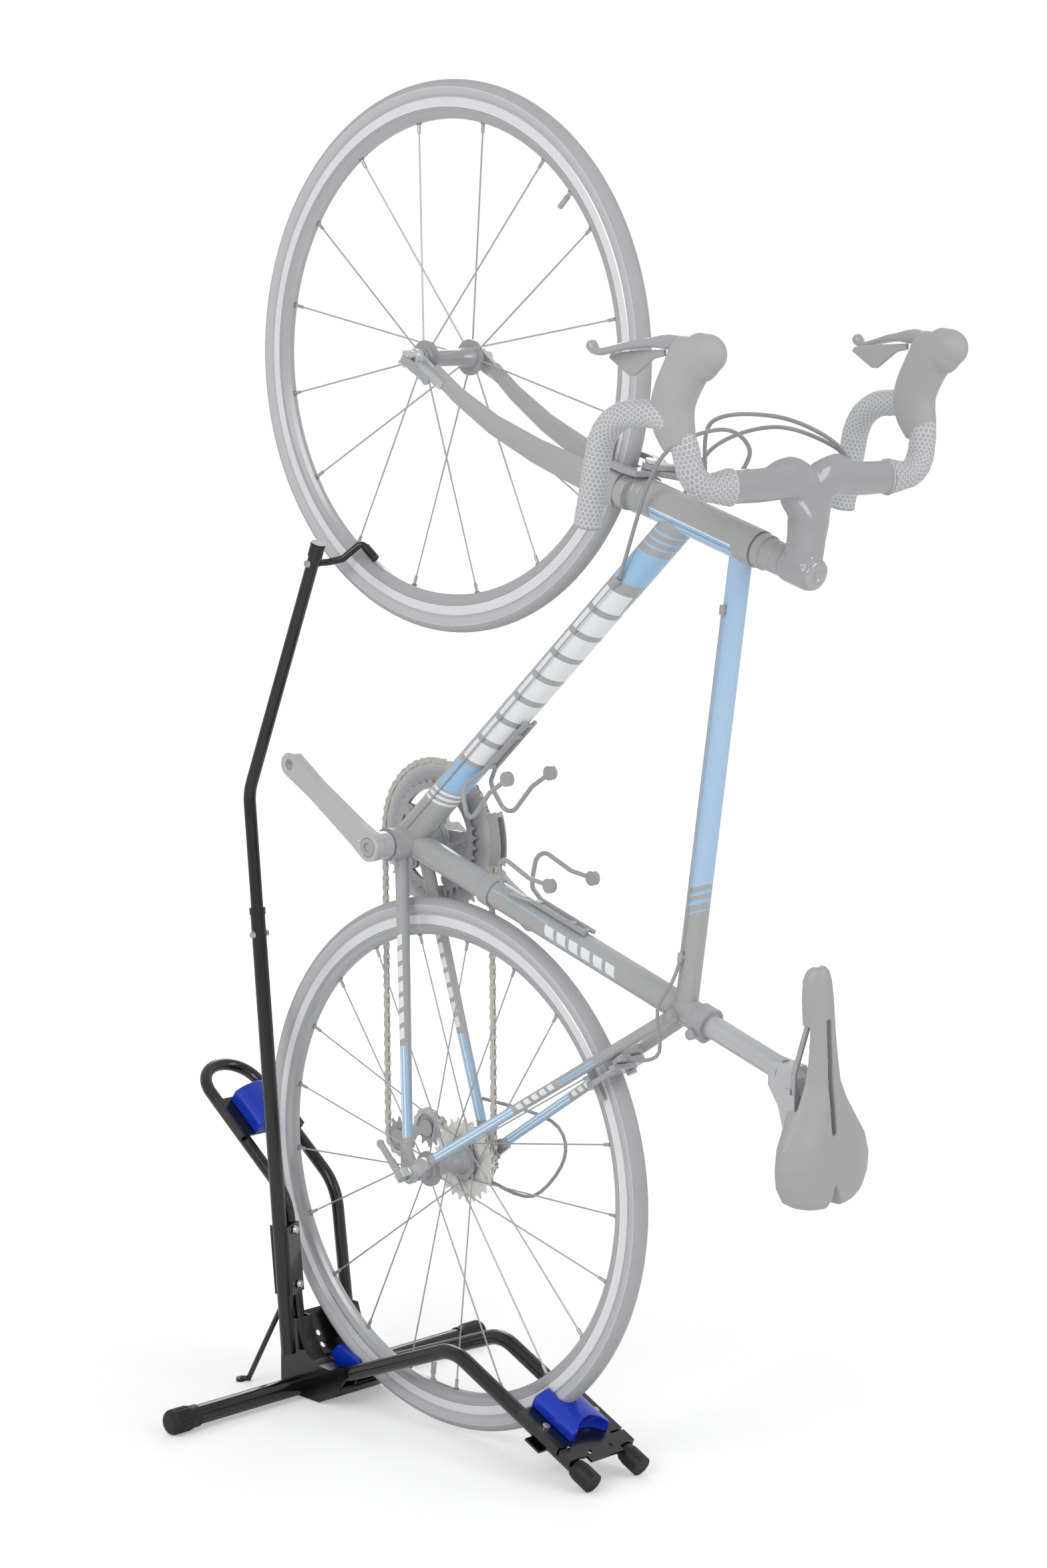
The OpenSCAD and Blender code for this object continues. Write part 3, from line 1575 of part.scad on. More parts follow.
function down_stop(k) = mix(down_bb, down_head, 0.82) + [0,k * (down_tube_r + 4),0];
front_brake_stop = hp(front_bolt_x + 32, 28, 31);
top_stop_a = mix(top_seat, top_head, 0.86) + [-top_tube_r * 0.3,-top_tube_r - 3,0];
top_stop_b = mix(top_seat, top_head, 0.12) + [-top_tube_r * 0.3,-top_tube_r - 3,0];

// Stops, bare wires and the rear housings, held by the frame
module frame_cables() {
	d = unit(down_head - down_bb);
	u = unit(top_head - top_seat);
	color(C_METAL) home()
		difference() {
			union() {
				for (k = [-1,1]) {
					q = down_stop(k);
					rod(q - d * 9, q, 3.6);
					rod(q - d * 9 + [0,-k * 6,0], q - d * 1 + [0,-k * 6,0], 3.4);
					rod(q - d * 9, down_bb + d * 24 + [0,k * (down_tube_r + wire_r + 0.2),0], wire_r);
				}
				for (q = [top_stop_a,top_stop_b]) {
					rod(q - u * 6, q + u * 6, 3.4);
					rod(q, q + [3,7,0], 3);
				}
				rod(top_stop_b, top_stop_a, wire_r);
			}
			rod(down_bb, down_head, down_tube_r);
			rod(top_seat, top_head, top_tube_r);
			shell_cylinder(bb_shell_r);
		}
}

module rear_housings() {
	u = unit(top_head - top_seat);
	b = top_stop_b - u * 6.2;
	color(C_RUBBER) home() {
		cable([b,b - u * 22 + [-1,-7,0],b - u * 55 + [-4,-24,0],rear_brake_frame_pt([98,46,34]),
			rear_brake_frame_pt([60,40,30]),rear_brake_stop], cable_r, 4);
		cable([mix(stay_low, [bb[0] + 6,22,bb[2] - 37.8], 0.1) + [-2,12,0],hub_r + [112,66,62],
			hub_r + [125,76,16],hub_r + [62,84,-46],[hanger[0] + 30.4,mech_y - 2.9,hanger[2] - 18.7]],
			cable_r, 5);
	}
}
function rear_brake_frame_pt(q) = hub_r + stay_dir * (rear_bolt_x + q[0]) + [0,-q[1],0]
	+ [stay_dir[2],0,-stay_dir[0]] * q[2];
rear_brake_stop = rear_brake_frame_pt([32,31,12.5]);

// ---- stand

leg_cos = cos(leg_fall);
leg_end_x = leg_knee_x + (leg_knee_z - leg_cap_r * leg_cos) / tan(leg_fall);
leg_a = [-186,leg_y,leg_knee_z - (leg_knee_x + 186) * tan(leg_rise)];
leg_b = [leg_knee_x,leg_y,leg_knee_z];
leg_c = [leg_end_x,leg_y,leg_cap_r * leg_cos];
leg_d = unit(leg_c - leg_b);
leg_n = [-leg_d[2],0,leg_d[0]];

module front_legs() {
	color(C_STAND) home()
		both_sides() {
			tube_path([leg_a,leg_b,leg_c - leg_d * leg_cap_len], [55], leg_r, leg_r - 1.5);
		}
}

module leg_caps() {
	c = leg_c - leg_d * leg_cap_len;
	color(C_STAND) home()
		both_sides() {
			rod(c, leg_c, leg_cap_r);
			rod(c - leg_d * 8, c, leg_r + 2.2, leg_cap_r, ri = leg_r);
		}
}

cross_z = cross_cap_r;

module cross_tube() {
	color(C_STAND) home()
		rod([cross_x,-cross_len / 2 + 3,cross_z], [cross_x,cross_len / 2 - 3,cross_z], cross_tube_r,
			ri = cross_tube_r - 1.6);
}

module cross_caps() {
	e = cross_len / 2;
	color(C_STAND) home()
		both_sides() {
			side_frame([cross_x,e,cross_z])
				difference() {
					rotate_extrude()
						polygon([[0,0],[cross_cap_r - 6,0],[cross_cap_r - 2,1.5],[cross_cap_r,5],[cross_cap_r,28],
							[cross_tube_r + 1.5,36],[cross_tube_r + 1.5,44],[cross_tube_r,44],[cross_tube_r,3],[0,3]]);
					for (i = [0:15])
						rotate([0,0,i * 22.5 + 11.25])
							translate([cross_cap_r + 0.7,0,7])
								cylinder(h = 30, r = 1.9, $fn = 16);
				}
		}
}

loop_a = [loop_foot_x,leg_y,59];
loop_b = [loop_foot_x - 26,leg_y,loop_bend_z];
loop_c = [loop_end_x,leg_y,loop_bend_z + (loop_foot_x - 26 - loop_end_x) * tan(loop_slope)];
loop_u = unit(loop_c - loop_b);
loop_n = [loop_u[2],0,-loop_u[0]];

module rear_loop() {
	color(C_STAND) home()
		tube_path([loop_a,loop_b,loop_c,flip(loop_c),flip(loop_b),flip(loop_a)], [70,leg_y - 0.5,leg_y - 0.5,70],
			loop_r, loop_r - 1.4);
}

function mast_at(z) = [mast_foot_x - z * tan(mast_lean),-mast_y,z];
function upper_at(z) = mast_at(mast_bend_z) + [(z - mast_bend_z) * tan(mast_fore_lean),0,z - mast_bend_z];
function loop_at(z) = mix(loop_a, loop_b, (z - loop_a[2]) / (loop_b[2] - loop_a[2]));

module mast_lower() {
	color(C_STAND) home()
		difference() {
			rod(mast_at(mast_low_z), mast_at(mast_joint_z), mast_r, ri = upper_mast_r + 0.1);
			rod(mast_at(mast_bolt_z) - [0,20,0], mast_at(mast_bolt_z) + [0,20,0], 3.1);
		}
}

module mast_upper() {
	color(C_STAND) home()
		difference() {
			tube_path([mast_at(mast_joint_z - 110),mast_at(mast_bend_z),upper_at(mast_top_z - 3)], [60], upper_mast_r,
				upper_mast_r - 1.4);
			rod(mast_at(mast_bolt_z) - [0,20,0], mast_at(mast_bolt_z) + [0,20,0], 3.1);
			rod(upper_at(hook_bolt_z) - [0,20,0], upper_at(hook_bolt_z) + [0,20,0], 3.1);
		}
}

module mast_cap() {
	color(C_STAND) home() {
		rod(upper_at(mast_top_z - 17), upper_at(mast_top_z - 3), upper_mast_r + 1.4, ri = upper_mast_r);
		rod(upper_at(mast_top_z - 3), upper_at(mast_top_z), upper_mast_r + 1.8, upper_mast_r + 1.2);
	}
}

module joint_collar() {
	color(C_STAND) home()
		rod(mast_at(mast_joint_z - 3), mast_at(mast_joint_z + 6), mast_r + 1, ri = upper_mast_r + 0.05);
}

hook_a = wp(hub_f, rim_bed_r - 13.2, hook_end_turn - 6, -11.2);
hook_b = wp(hub_f, rim_bed_r - 8.5, hook_end_turn, -10.2);
hook_m = upper_at(hook_bolt_z);

module wheel_hook() {
	color(C_STAND) home()
		difference() {
			tube_path([hook_m + [0,upper_mast_r + 1,0],hook_m + [0,25,0],hook_m + [13,38,4],hook_a,hook_b],
				[8,9,7], hook_r);
			rod(hook_m, hook_m + [0,upper_mast_r + 11,0], 2.9);
		}
}

module hook_sleeve() {
	u = unit(hook_b - hook_a);
	color([0.45,0.45,0.46]) home()
		rod(hook_a + u * 9, hook_b + u * 0.5, hook_r + 1.2, ri = hook_r);
}

// Points where the clamp plates touch the mast and the loop in plan
clamp_z = 182;

module clamp_plates() {
	m = mast_at(clamp_z);
	l = flip(loop_at(clamp_z));
	D = [l[0] - m[0],l[1] - m[1]];
	n = norm(D);
	color(C_STAND) home()
		for (s = [-1,1]) {
			t = atan2(D[1], D[0]) - asin(s * (loop_r - mast_r) / n);
			d = [cos(t),sin(t)];
			e = s * [d[1],-d[0]];
			a = [m[0],m[1]] + e * (mast_r + 0.3) - d * 3;
			b = [m[0],m[1]] + e * (mast_r + 0.3) + d * (n + 3);
			difference() {
				multmatrix([[1,0,-tan(mast_lean + 0.8),(clamp_z) * tan(mast_lean + 0.8)],[0,1,0,0],[0,0,1,0]])
					translate([0,0,clamp_z - 46])
						linear_extrude(88)
							polygon([a - e * 1,b - e * 1,b + e * 3,a + e * 3]);
				rod(mast_at(mast_low_z), mast_at(mast_joint_z), mast_r);
				rod(flip(loop_a), flip(loop_b), loop_r);
				for (z = [clamp_z - 35,clamp_z + 35])
					clamp_bolt(z, 3);
			}
		}
}

module clamp_bolt(z, r, head = 0) {
	m = mast_at(z);
	l = flip(loop_at(z));
	c = mix(m, l, 0.52);
	along([c[0],c[1],z], [0.91,0.41,0]) {
		translate([0,0,-17])
			cylinder(h = 34, r = r);
		if (head > 0) {
			translate([0,0,13.4])
				cylinder(h = 4, r1 = head, r2 = head * 0.8);
			translate([0,0,-17])
				cylinder(h = 4, r = head, $fn = 6);
		}
	}
}

prop_top = mast_at(118) + [-mast_r - 0.4,0,0];

module prop_leg() {
	color(C_STAND) home()
		difference() {
			union() {
				rod(prop_top + [8,0,10.7], [-321,-59,3.5], 3.5);
				rod([-319,-57,3.5], [-329,-66,3.5], 3.4);
				rod([-329,-66,0], [-329,-66,4.5], 6);
			}
			rod(mast_at(mast_low_z), mast_at(mast_joint_z), mast_r);
		}
}

// Base bracket: cheeks, folded front edges, sockets, back sheet and saddle
cheek_front = [[-232,102],[-222,74],[-212,60],[-200,53],[-189,49.5],[-167,48]];
back_line = [[-262,98],[-252,74],[-243,57],[-231,45],[-216,38],[-200,33],[-150,29]];

function strip(l, t) = concat(l, [for (i = [len(l) - 1:-1:0])
	let (a = l[max(i - 1, 0)], b = l[min(i + 1, len(l) - 1)], d = (b - a) / norm(b - a))
	l[i] + t * [d[1],-d[0]]]);

module base_bracket() {
	t = bracket_t;
	y1 = leg_y + leg_r + 2.3;
	y0 = leg_y - leg_r - 4.5;
	cheek = concat([[-262,4],[-262,102]], cheek_front, [[-140,58],[-136,44],[-150,26],[-190,4]]);
	color(C_STAND) home()
		difference() {
			union() {
				both_sides() {
					side_plate(y1 - t, y1, cheek);
					side_plate(y0, y0 + t, cheek);
					side_plate(y0 + t - 1, y1 - t + 1, strip(cheek_front, t));
					side_plate(y0 + t - 1, y1 - t + 1, [[-262,56],[-262,59],[-236,59],[-215,52],[-215,49],[-236,56]]);
					side_plate(y0 + t - 1, y1 - t + 1, [[-262,59],[-262,102],[-259,102],[-259,59]]);
				}
				side_plate(-y0 - 1, y0 + 1, strip(back_line, t));
				side_plate(-y1, y1, [[-262,1],[-262,4],[-190,4],[-150,28],[-148,25],[-188,1]]);
				rod([cross_x,-y1,cross_z], [cross_x,y1,cross_z], cross_tube_r + t);
			}
			rod([cross_x,-y1 - 1,cross_z], [cross_x,y1 + 1,cross_z], cross_tube_r);
			translate([-290,-80,-30])
				cube([200,160,31]);
			both_sides() {
				rod(leg_a - unit(leg_b - leg_a) * 0.1, leg_b, leg_r);
				rod(loop_a - [0,0,0], loop_b, loop_r);
			}
			for (q = [[-249.5,68],[-241,54],[-222,41]])
				translate([q[0],0,q[1]])
					rotate([0,60,0])
						cylinder(h = 30, r = 4, center = true);
			for (y = [-18,18])
				translate([-205,y,-1])
					cylinder(h = 10, r = 3.1);
		}
}

// Frame on the falling part of the legs: x along the leg, z square to it
module leg_frame(x) {
	p = leg_b + leg_d * ((x - leg_knee_x) / leg_cos);
	multmatrix([[leg_d[0],0,leg_n[0],p[0]],[0,1,0,0],[leg_d[2],0,leg_n[2],p[2]]])
		children();
}

module tyre_groove() {
	side_frame(hub_r)
		rotate_extrude($fn = 96) {
			translate([tyre_mid_r,0])
				circle(tyre_tube_r + seat_gap);
			translate([tyre_mid_r - 30,-tyre_tube_r + 1])
				square([30,2 * tyre_tube_r - 2]);
		}
}

module front_bridge() {
	color(C_STAND) home()
		difference() {
			union() {
				leg_frame(226) {
					translate([-60,-55,leg_r + 0.3])
						cube([74,110,3]);
					translate([13,-34,leg_r + 0.3])
						cube([25,68,3]);
					translate([17,-55,leg_r + 0.3])
						cube([20,110,3]);
					translate([37,-28,leg_r + 0.3])
						cube([10,56,3]);
					for (s = [-1,1]) {
						translate([-60,s * 53.5 - 1.5,leg_r - 7])
							cube([74,3,8]);
						translate([17,s * 53.5 - 1.5,leg_r - 7])
							cube([20,3,8]);
						translate([-36,s * 42 - 14,-leg_r - 3.6])
							cube([26,28,3]);
					}
				}
			}
			leg_frame(226) {
					for (y = [-18,18])
						translate([33,y,0])
							cylinder(h = 30, r = 3.2);
					translate([-61,-15,0])
						cube([23,30,30]);
				}
			for (s = [-1,1])
				leg_frame(226)
					translate([-23,s * leg_y,-20])
						cylinder(h = 40, r = 2.6);
		}
}

// Cradle block on a plate: low sides, an arched back along x, length from a to b
module cradle_block(a, b, half, edge, crest) {
	r = (half * half + pow(crest - edge, 2)) / (2 * (crest - edge));
	intersection() {
		translate([a,-half,0])
			cube([b - a,2 * half,crest + 1]);
		translate([a - 1,0,crest - r])
			rotate([0,90,0])
				cylinder(h = b - a + 2, r = r);
	}
}

module front_cradle() {
	color(C_BLUE) home()
		difference() {
			leg_frame(206)
				translate([0,0,leg_r + 3.3])
					cradle_block(-40, 33, cradle_half, cradle_edge, cradle_crest);
			tyre_groove();
			leg_frame(206)
				translate([47,0,leg_r + 11])
					sphere(r = 30);
		}
}

module base_cradle() {
	color(C_BLUE) home()
		difference() {
			side_plate(-19, 19, [[-214,39.5],[-206,54],[-192,68],[-153,57],[-147,42],[-153,30.5],[-192,35]]);
			side_plate(-20, 20, concat([for (q = strip(back_line, 0)) q], [[-150,10],[-262,10]]));
			tyre_groove();
		}
}

module loop_bridge() {
	c = mix(loop_b, loop_c, 0.55);
	color(C_STAND) home()
		loop_frame()
			difference() {
				union() {
					translate([-26,-53.3,loop_r + 0.3])
						cube([66,106.6,3]);
					for (s = [-1,1])
						translate([-26,s * 51.8 - 1.5,loop_r - 6])
							cube([66,3,8]);
				}
				for (y = [-26,26])
					translate([0,y,0])
						cylinder(h = 20, r = 3.1);
			}
}

module loop_frame() {
	p = mix(loop_b, loop_c, 0.55);
	multmatrix([[loop_u[0],0,loop_n[0],p[0]],[0,1,0,0],[loop_u[2],0,loop_n[2],p[2]]])
		children();
}

module loop_cradle() {
	color(C_BLUE) home()
		difference() {
			loop_frame()
				translate([0,0,loop_r + 3.3])
					cradle_block(-26, 36, cradle_half, cradle_edge + 4, cradle_crest + 6);
			tyre_groove();
		}
}

module bolt(p, d, L, r = 2.9, head = 5.2) {
	along(p, d) {
		cylinder(h = L, r = r);
		translate([0,0,L])
			cylinder(h = 3.4, r1 = head, r2 = head * 0.75);
		translate([0,0,-4])
			cylinder(h = 4, r = head - 0.4, $fn = 6);
	}
}

module stand_bolts() {
	h = upper_at(hook_bolt_z);
	j = mast_at(mast_bolt_z);
	color(C_ZINC) home() {
		clamp_bolt(clamp_z - 35, 2.9, 5.4);
		clamp_bolt(clamp_z + 35, 2.9, 5.4);
		bolt(j + [0,mast_r + 0.2,0], [0,-1,0], 2 * mast_r + 0.4);
		along(h + [0,upper_mast_r + 10.6,0], [0,-1,0]) {
			cylinder(h = 2 * upper_mast_r + 11, r = 2.85);
			translate([0,0,2 * upper_mast_r + 11])
				cylinder(h = 3.4, r1 = 5.2, r2 = 3.9);
		}
		for (y = [-18,18])
			along([-205,y,0], [0,0,1])
				cylinder(h = 9, r = 2.9);
		leg_frame(226)
			for (s = [-1,1]) {
				translate([-23,s * leg_y,-leg_r - 6])
					cylinder(h = 5.9, r = 2.5);
				translate([-23,s * leg_y,leg_r + 0.2])
					cylinder(h = 3.1, r = 2.5);
				translate([-23,s * leg_y,leg_r + 3.3])
					cylinder(h = 3, r = 5);
			}
		loop_frame()
			for (y = [-26,26]) {
				translate([0,y,loop_r - 2.9])
									cylinder(h = 6.1, r = 2.9);
								translate([0,y,loop_r - 2.9])
									cylinder(h = 3, r = 5);
			}
	}
}

module stand_caps() {
	leg_caps();
	cross_caps();
}

module wheel_cradles() {
	front_cradle();
	base_cradle();
	loop_cradle();
}

module bridge_plates() {
	front_bridge();
	loop_bridge();
}

module mast_foot() {
	mast_lower();
	joint_collar();
	prop_leg();
}

module mast_top() {
	mast_upper();
	mast_cap();
}

module hook() {
	wheel_hook();
	hook_sleeve();
}

module frame_bearings() {
	headset();
	bb_cups();
}

module rear_stays() {
	chain_stays();
	seat_stays();
}

module fork_fittings() {
	fork_tips();
	front_brake_bolt();
}

module frame_fittings() {
	seat_clamp();
	frame_cables();
	rear_brake_bolt();
}

module crank_arms() {
	crank_left();
	crank_spindle();
	crank_right();
}

module derailleurs() {
	rear_derailleur();
	front_derailleur();
}

base_bracket();
cross_tube();
stand_caps();
front_legs();
bridge_plates();
wheel_cradles();
rear_loop();
mast_foot();
clamp_plates();
mast_top();
hook();
stand_bolts();
head_tube();
top_tube();
down_tube();
seat_tube();
rear_stays();
frame_bearings();
frame_fittings();
fork_crown();
fork_blades();
fork_fittings();
handlebar_stem();
handlebar();
bar_tape();
lever_hoods();
brake_lever_left();
brake_lever_right();
shift_paddle_left();
shift_paddle_right();
front_rim();
front_tyre();
front_spokes();
front_hub();
front_axle();
front_skewer_lever();
rear_rim();
rear_tyre();
rear_spokes();
rear_hub();
rear_axle();
rear_skewer_lever();
cassette();
chainrings();
crank_arms();
chain();
guide_pulley();
tension_pulley();
derailleurs();
front_brake_arm_left();
front_brake_arm_right();
rear_brake_arm_left();
rear_brake_arm_right();
seatpost();
saddle_rails();
saddle();
bottle_cages();
front_cables();
rear_housings();
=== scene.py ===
import json
import math

import bmesh
import bpy
from mathutils import Matrix, Vector

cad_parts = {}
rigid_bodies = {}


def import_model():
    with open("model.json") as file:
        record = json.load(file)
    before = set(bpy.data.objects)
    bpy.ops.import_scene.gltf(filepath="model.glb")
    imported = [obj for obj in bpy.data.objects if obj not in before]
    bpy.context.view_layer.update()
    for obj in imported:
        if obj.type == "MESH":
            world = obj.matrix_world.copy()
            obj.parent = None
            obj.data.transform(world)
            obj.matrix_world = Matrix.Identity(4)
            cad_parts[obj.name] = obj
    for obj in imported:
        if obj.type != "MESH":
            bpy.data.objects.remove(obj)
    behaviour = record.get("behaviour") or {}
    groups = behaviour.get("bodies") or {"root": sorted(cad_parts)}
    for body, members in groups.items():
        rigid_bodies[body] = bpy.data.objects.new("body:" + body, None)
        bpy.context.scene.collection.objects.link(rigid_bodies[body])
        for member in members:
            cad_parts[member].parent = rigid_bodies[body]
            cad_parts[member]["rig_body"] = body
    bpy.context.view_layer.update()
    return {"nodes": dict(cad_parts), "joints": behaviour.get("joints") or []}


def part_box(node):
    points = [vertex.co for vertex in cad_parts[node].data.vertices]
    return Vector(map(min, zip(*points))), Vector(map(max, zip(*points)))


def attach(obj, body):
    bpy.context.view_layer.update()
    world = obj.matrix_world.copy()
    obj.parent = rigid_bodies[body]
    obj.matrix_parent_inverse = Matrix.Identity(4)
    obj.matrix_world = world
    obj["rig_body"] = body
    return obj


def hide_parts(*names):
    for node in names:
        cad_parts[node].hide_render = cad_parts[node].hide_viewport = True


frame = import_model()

# ---------------------------------------------------------------- the frame
# A road bicycle hangs upright in a floor stand, back wheel on the base. Places come from
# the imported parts: the middle of each tyre is a hub, and the joints give the axes.
nodes = frame["nodes"]
joints = {j["name"]: j for j in frame["joints"]}


def middle(node):
    low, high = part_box(node)
    return (low + high) / 2


rear_hub = middle("rear_tyre")
front_hub = middle("front_tyre")
floor_under_hubs = Vector((rear_hub.x, 0, 0))
steer_up = Vector(joints["steering_turn"]["axis"])
steer_out = Vector((-steer_up.z, 0, steer_up.x))
seat_up = Vector(joints["seatpost_slide"]["axis"])


def at(x, y, z):
    """A point in millimetres from the floor under the two hubs."""
    return floor_under_hubs + Vector((x, y, z)) / 1000


# ---------------------------------------------------------------- camera
# It stands ahead of the bicycle's left side, a little above the saddle, and looks square
# at the whole. The shift only frames it, and nothing is out of focus.
eye = Vector((2.98805, -2.92556, 1.45064))
camera = bpy.data.objects.new("camera", bpy.data.cameras.new("camera"))
bpy.context.scene.collection.objects.link(camera)
to_right = Vector((0.70418, 0.71002, 0.0))
backwards = Vector((0.70564, -0.69984, 0.11085))
upwards = backwards.cross(to_right)
camera.matrix_world = Matrix.Translation(eye) @ Matrix(
    (to_right, upwards, backwards)).transposed().to_4x4()
camera.data.sensor_width = 36
camera.data.lens = 80.166
camera.data.shift_y = -0.08285
camera.data.clip_end = 60
bpy.context.scene.camera = camera
bpy.context.scene.view_settings.view_transform = "Standard"

# ---------------------------------------------------------------- stage and light
# A white floor and a white surround, lit evenly by a big soft lamp on each side, so that
# pale paint shows at its own colour and black tubes get long soft highlights.
surround = bpy.data.worlds.new("surround")
surround.use_nodes = True
bpy.context.scene.world = surround
sky = surround.node_tree
seen = sky.nodes.new("ShaderNodeLightPath")
seen_or_mirrored = sky.nodes.new("ShaderNodeMath")
seen_or_mirrored.operation = "MAXIMUM"
sky.links.new(seen.outputs["Is Camera Ray"], seen_or_mirrored.inputs[0])
sky.links.new(seen.outputs["Is Transmission Ray"], seen_or_mirrored.inputs[1])
sky_level = sky.nodes.new("ShaderNodeMapRange")
sky_level.inputs["To Min"].default_value = 0.62
sky_level.inputs["To Max"].default_value = 1.0
sky.links.new(seen_or_mirrored.outputs[0], sky_level.inputs["Value"])
sky.links.new(sky_level.outputs[0], sky.nodes["Background"].inputs["Strength"])
sky.nodes["Background"].inputs["Color"].default_value = (1, 1, 1, 1)


def soft_lamp(name, place, target, width, height, watts):
    lamp = bpy.data.lights.new(name, "AREA")
    lamp.shape = "RECTANGLE"
    lamp.size = width
    lamp.size_y = height
    lamp.energy = watts
    holder = bpy.data.objects.new(name, lamp)
    bpy.context.scene.collection.objects.link(holder)
    turn = (Vector(target) - Vector(place)).to_track_quat("-Z", "Y")
    holder.matrix_world = Matrix.Translation(place) @ turn.to_matrix().to_4x4()


soft_lamp("key_lamp", (0.6, -3.4, 2.9), (0, 0, 0.8), 1.6, 2.4, 42)
soft_lamp("side_lamp", (3.6, 0.9, 2.2), (0, 0, 0.8), 1.0, 2.4, 26)
soft_lamp("back_lamp", (-2.6, 2.6, 2.6), (0, 0, 0.8), 1.4, 2.0, 22)

floor_mesh = bpy.data.meshes.new("floor")
reach = 14.0
floor_mesh.from_pydata(
    [(-reach, -reach, -0.0004), (reach, -reach, -0.0004), (reach, reach, -0.0004), (-reach, reach, -0.0004)],
    [], [(0, 1, 2, 3)])
floor = bpy.data.objects.new("floor", floor_mesh)
bpy.context.scene.collection.objects.link(floor)
floor_paint = bpy.data.materials.new("white_floor")
floor_paint.use_nodes = True
paper = floor_paint.node_tree
paper.nodes.clear()
matt = paper.nodes.new("ShaderNodeBsdfDiffuse")
matt.inputs["Color"].default_value = (0.86, 0.86, 0.86, 1)
glow = paper.nodes.new("ShaderNodeEmission")
glow.inputs["Color"].default_value = (1, 1, 1, 1)
both = paper.nodes.new("ShaderNodeAddShader")
path = paper.nodes.new("ShaderNodeLightPath")
place = paper.nodes.new("ShaderNodeTexCoord")
distance = paper.nodes.new("ShaderNodeVectorMath")
distance.operation = "LENGTH"
brighten = paper.nodes.new("ShaderNodeMapRange")
brighten.inputs["From Min"].default_value = 0.5
brighten.inputs["From Max"].default_value = 3.5
brighten.inputs["To Min"].default_value = 0.30
brighten.inputs["To Max"].default_value = 0.75
lift = paper.nodes.new("ShaderNodeMath")
lift.operation = "MULTIPLY"
out = paper.nodes.new("ShaderNodeOutputMaterial")
paper.links.new(place.outputs["Object"], distance.inputs[0])
paper.links.new(distance.outputs["Value"], brighten.inputs["Value"])
paper.links.new(path.outputs["Is Camera Ray"], lift.inputs[0])
paper.links.new(brighten.outputs[0], lift.inputs[1])
paper.links.new(lift.outputs[0], glow.inputs["Strength"])
paper.links.new(matt.outputs[0], both.inputs[0])
paper.links.new(glow.outputs[0], both.inputs[1])
paper.links.new(both.outputs[0], out.inputs["Surface"])
floor_mesh.materials.append(floor_paint)

# ---------------------------------------------------------------- stand: black tube and sheet
# Bent steel tube and folded sheet, powder coated in a smooth gloss black. Each node keeps
# its CAD shape, so this section only makes the coat.


def tone(red, green, blue):
    """A colour as a paint chart gives it, 0 to 255, turned into light."""
    parts = [c / 255 for c in (red, green, blue)]
    light = [c / 12.92 if c <= 0.04045 else ((c + 0.055) / 1.055) ** 2.4 for c in parts]
    return (*light, 1.0)


def new_node(tree, kind, settings=(), **inputs):
    node = tree.nodes.new(kind)
    for key, value in dict(settings).items():
        setattr(node, key, value)
    for key, value in inputs.items():
        node.inputs[key.replace("_", " ")].default_value = value
    return node


def finish(name, colour, rough, metal=0.0, coat=0.0, shade=0.06, cloud=9.0, grain=0.0, grain_scale=900.0):
    """Colour and gloss that wander in clouds, with a fine grain of that height in metres."""
    material = bpy.data.materials.new(name)
    material.use_nodes = True
    tree = material.node_tree
    shader = tree.nodes["Principled BSDF"]
    shader.inputs["Metallic"].default_value = metal
    shader.inputs["Coat Weight"].default_value = coat
    shader.inputs["Coat Roughness"].default_value = 0.12
    place = new_node(tree, "ShaderNodeTexCoord")
    clouds = new_node(tree, "ShaderNodeTexNoise", Scale=cloud, Detail=5.0, Roughness=0.6)
    tree.links.new(place.outputs["Object"], clouds.inputs["Vector"])
    ramp = new_node(tree, "ShaderNodeValToRGB")
    ramp.name = "colour"
    ramp.color_ramp.elements[0].position = 0.3
    ramp.color_ramp.elements[1].position = 0.7
    ramp.color_ramp.elements[0].color = (*[c * (1 - shade) for c in colour[:3]], 1)
    ramp.color_ramp.elements[1].color = (*[min(1, c * (1 + shade)) for c in colour[:3]], 1)
    tree.links.new(clouds.outputs["Fac"], ramp.inputs["Fac"])
    tree.links.new(ramp.outputs["Color"], shader.inputs["Base Color"])
    smear = new_node(tree, "ShaderNodeMapRange")
    smear.inputs["From Min"].default_value = 0.3
    smear.inputs["From Max"].default_value = 0.7
    smear.inputs["To Min"].default_value = rough * 0.82
    smear.inputs["To Max"].default_value = min(1, rough * 1.2)
    tree.links.new(clouds.outputs["Fac"], smear.inputs["Value"])
    tree.links.new(smear.outputs[0], shader.inputs["Roughness"])
    if grain:
        grains = new_node(tree, "ShaderNodeTexNoise", Scale=grain_scale, Detail=3.0)
        relief = new_node(tree, "ShaderNodeBump", Distance=grain, Strength=1.0)
        tree.links.new(place.outputs["Object"], grains.inputs["Vector"])
        tree.links.new(grains.outputs["Fac"], relief.inputs["Height"])
        tree.links.new(relief.outputs["Normal"], shader.inputs["Normal"])
    return material


def dress(material, *names):
    """The CAD nodes keep their shape and take this finish."""
    for name in names:
        mesh = nodes[name].data
        mesh.materials.clear()
        mesh.materials.append(material)


black_coat = finish("black_powder_coat", tone(10, 10, 11), 0.2, coat=0.5, shade=0.15, grain=0.000012,
                    grain_scale=700)
dress(black_coat, "cross_tube", "front_legs", "rear_loop", "mast_foot", "mast_top", "hook", "clamp_plates",
      "bridge_plates", "base_bracket")

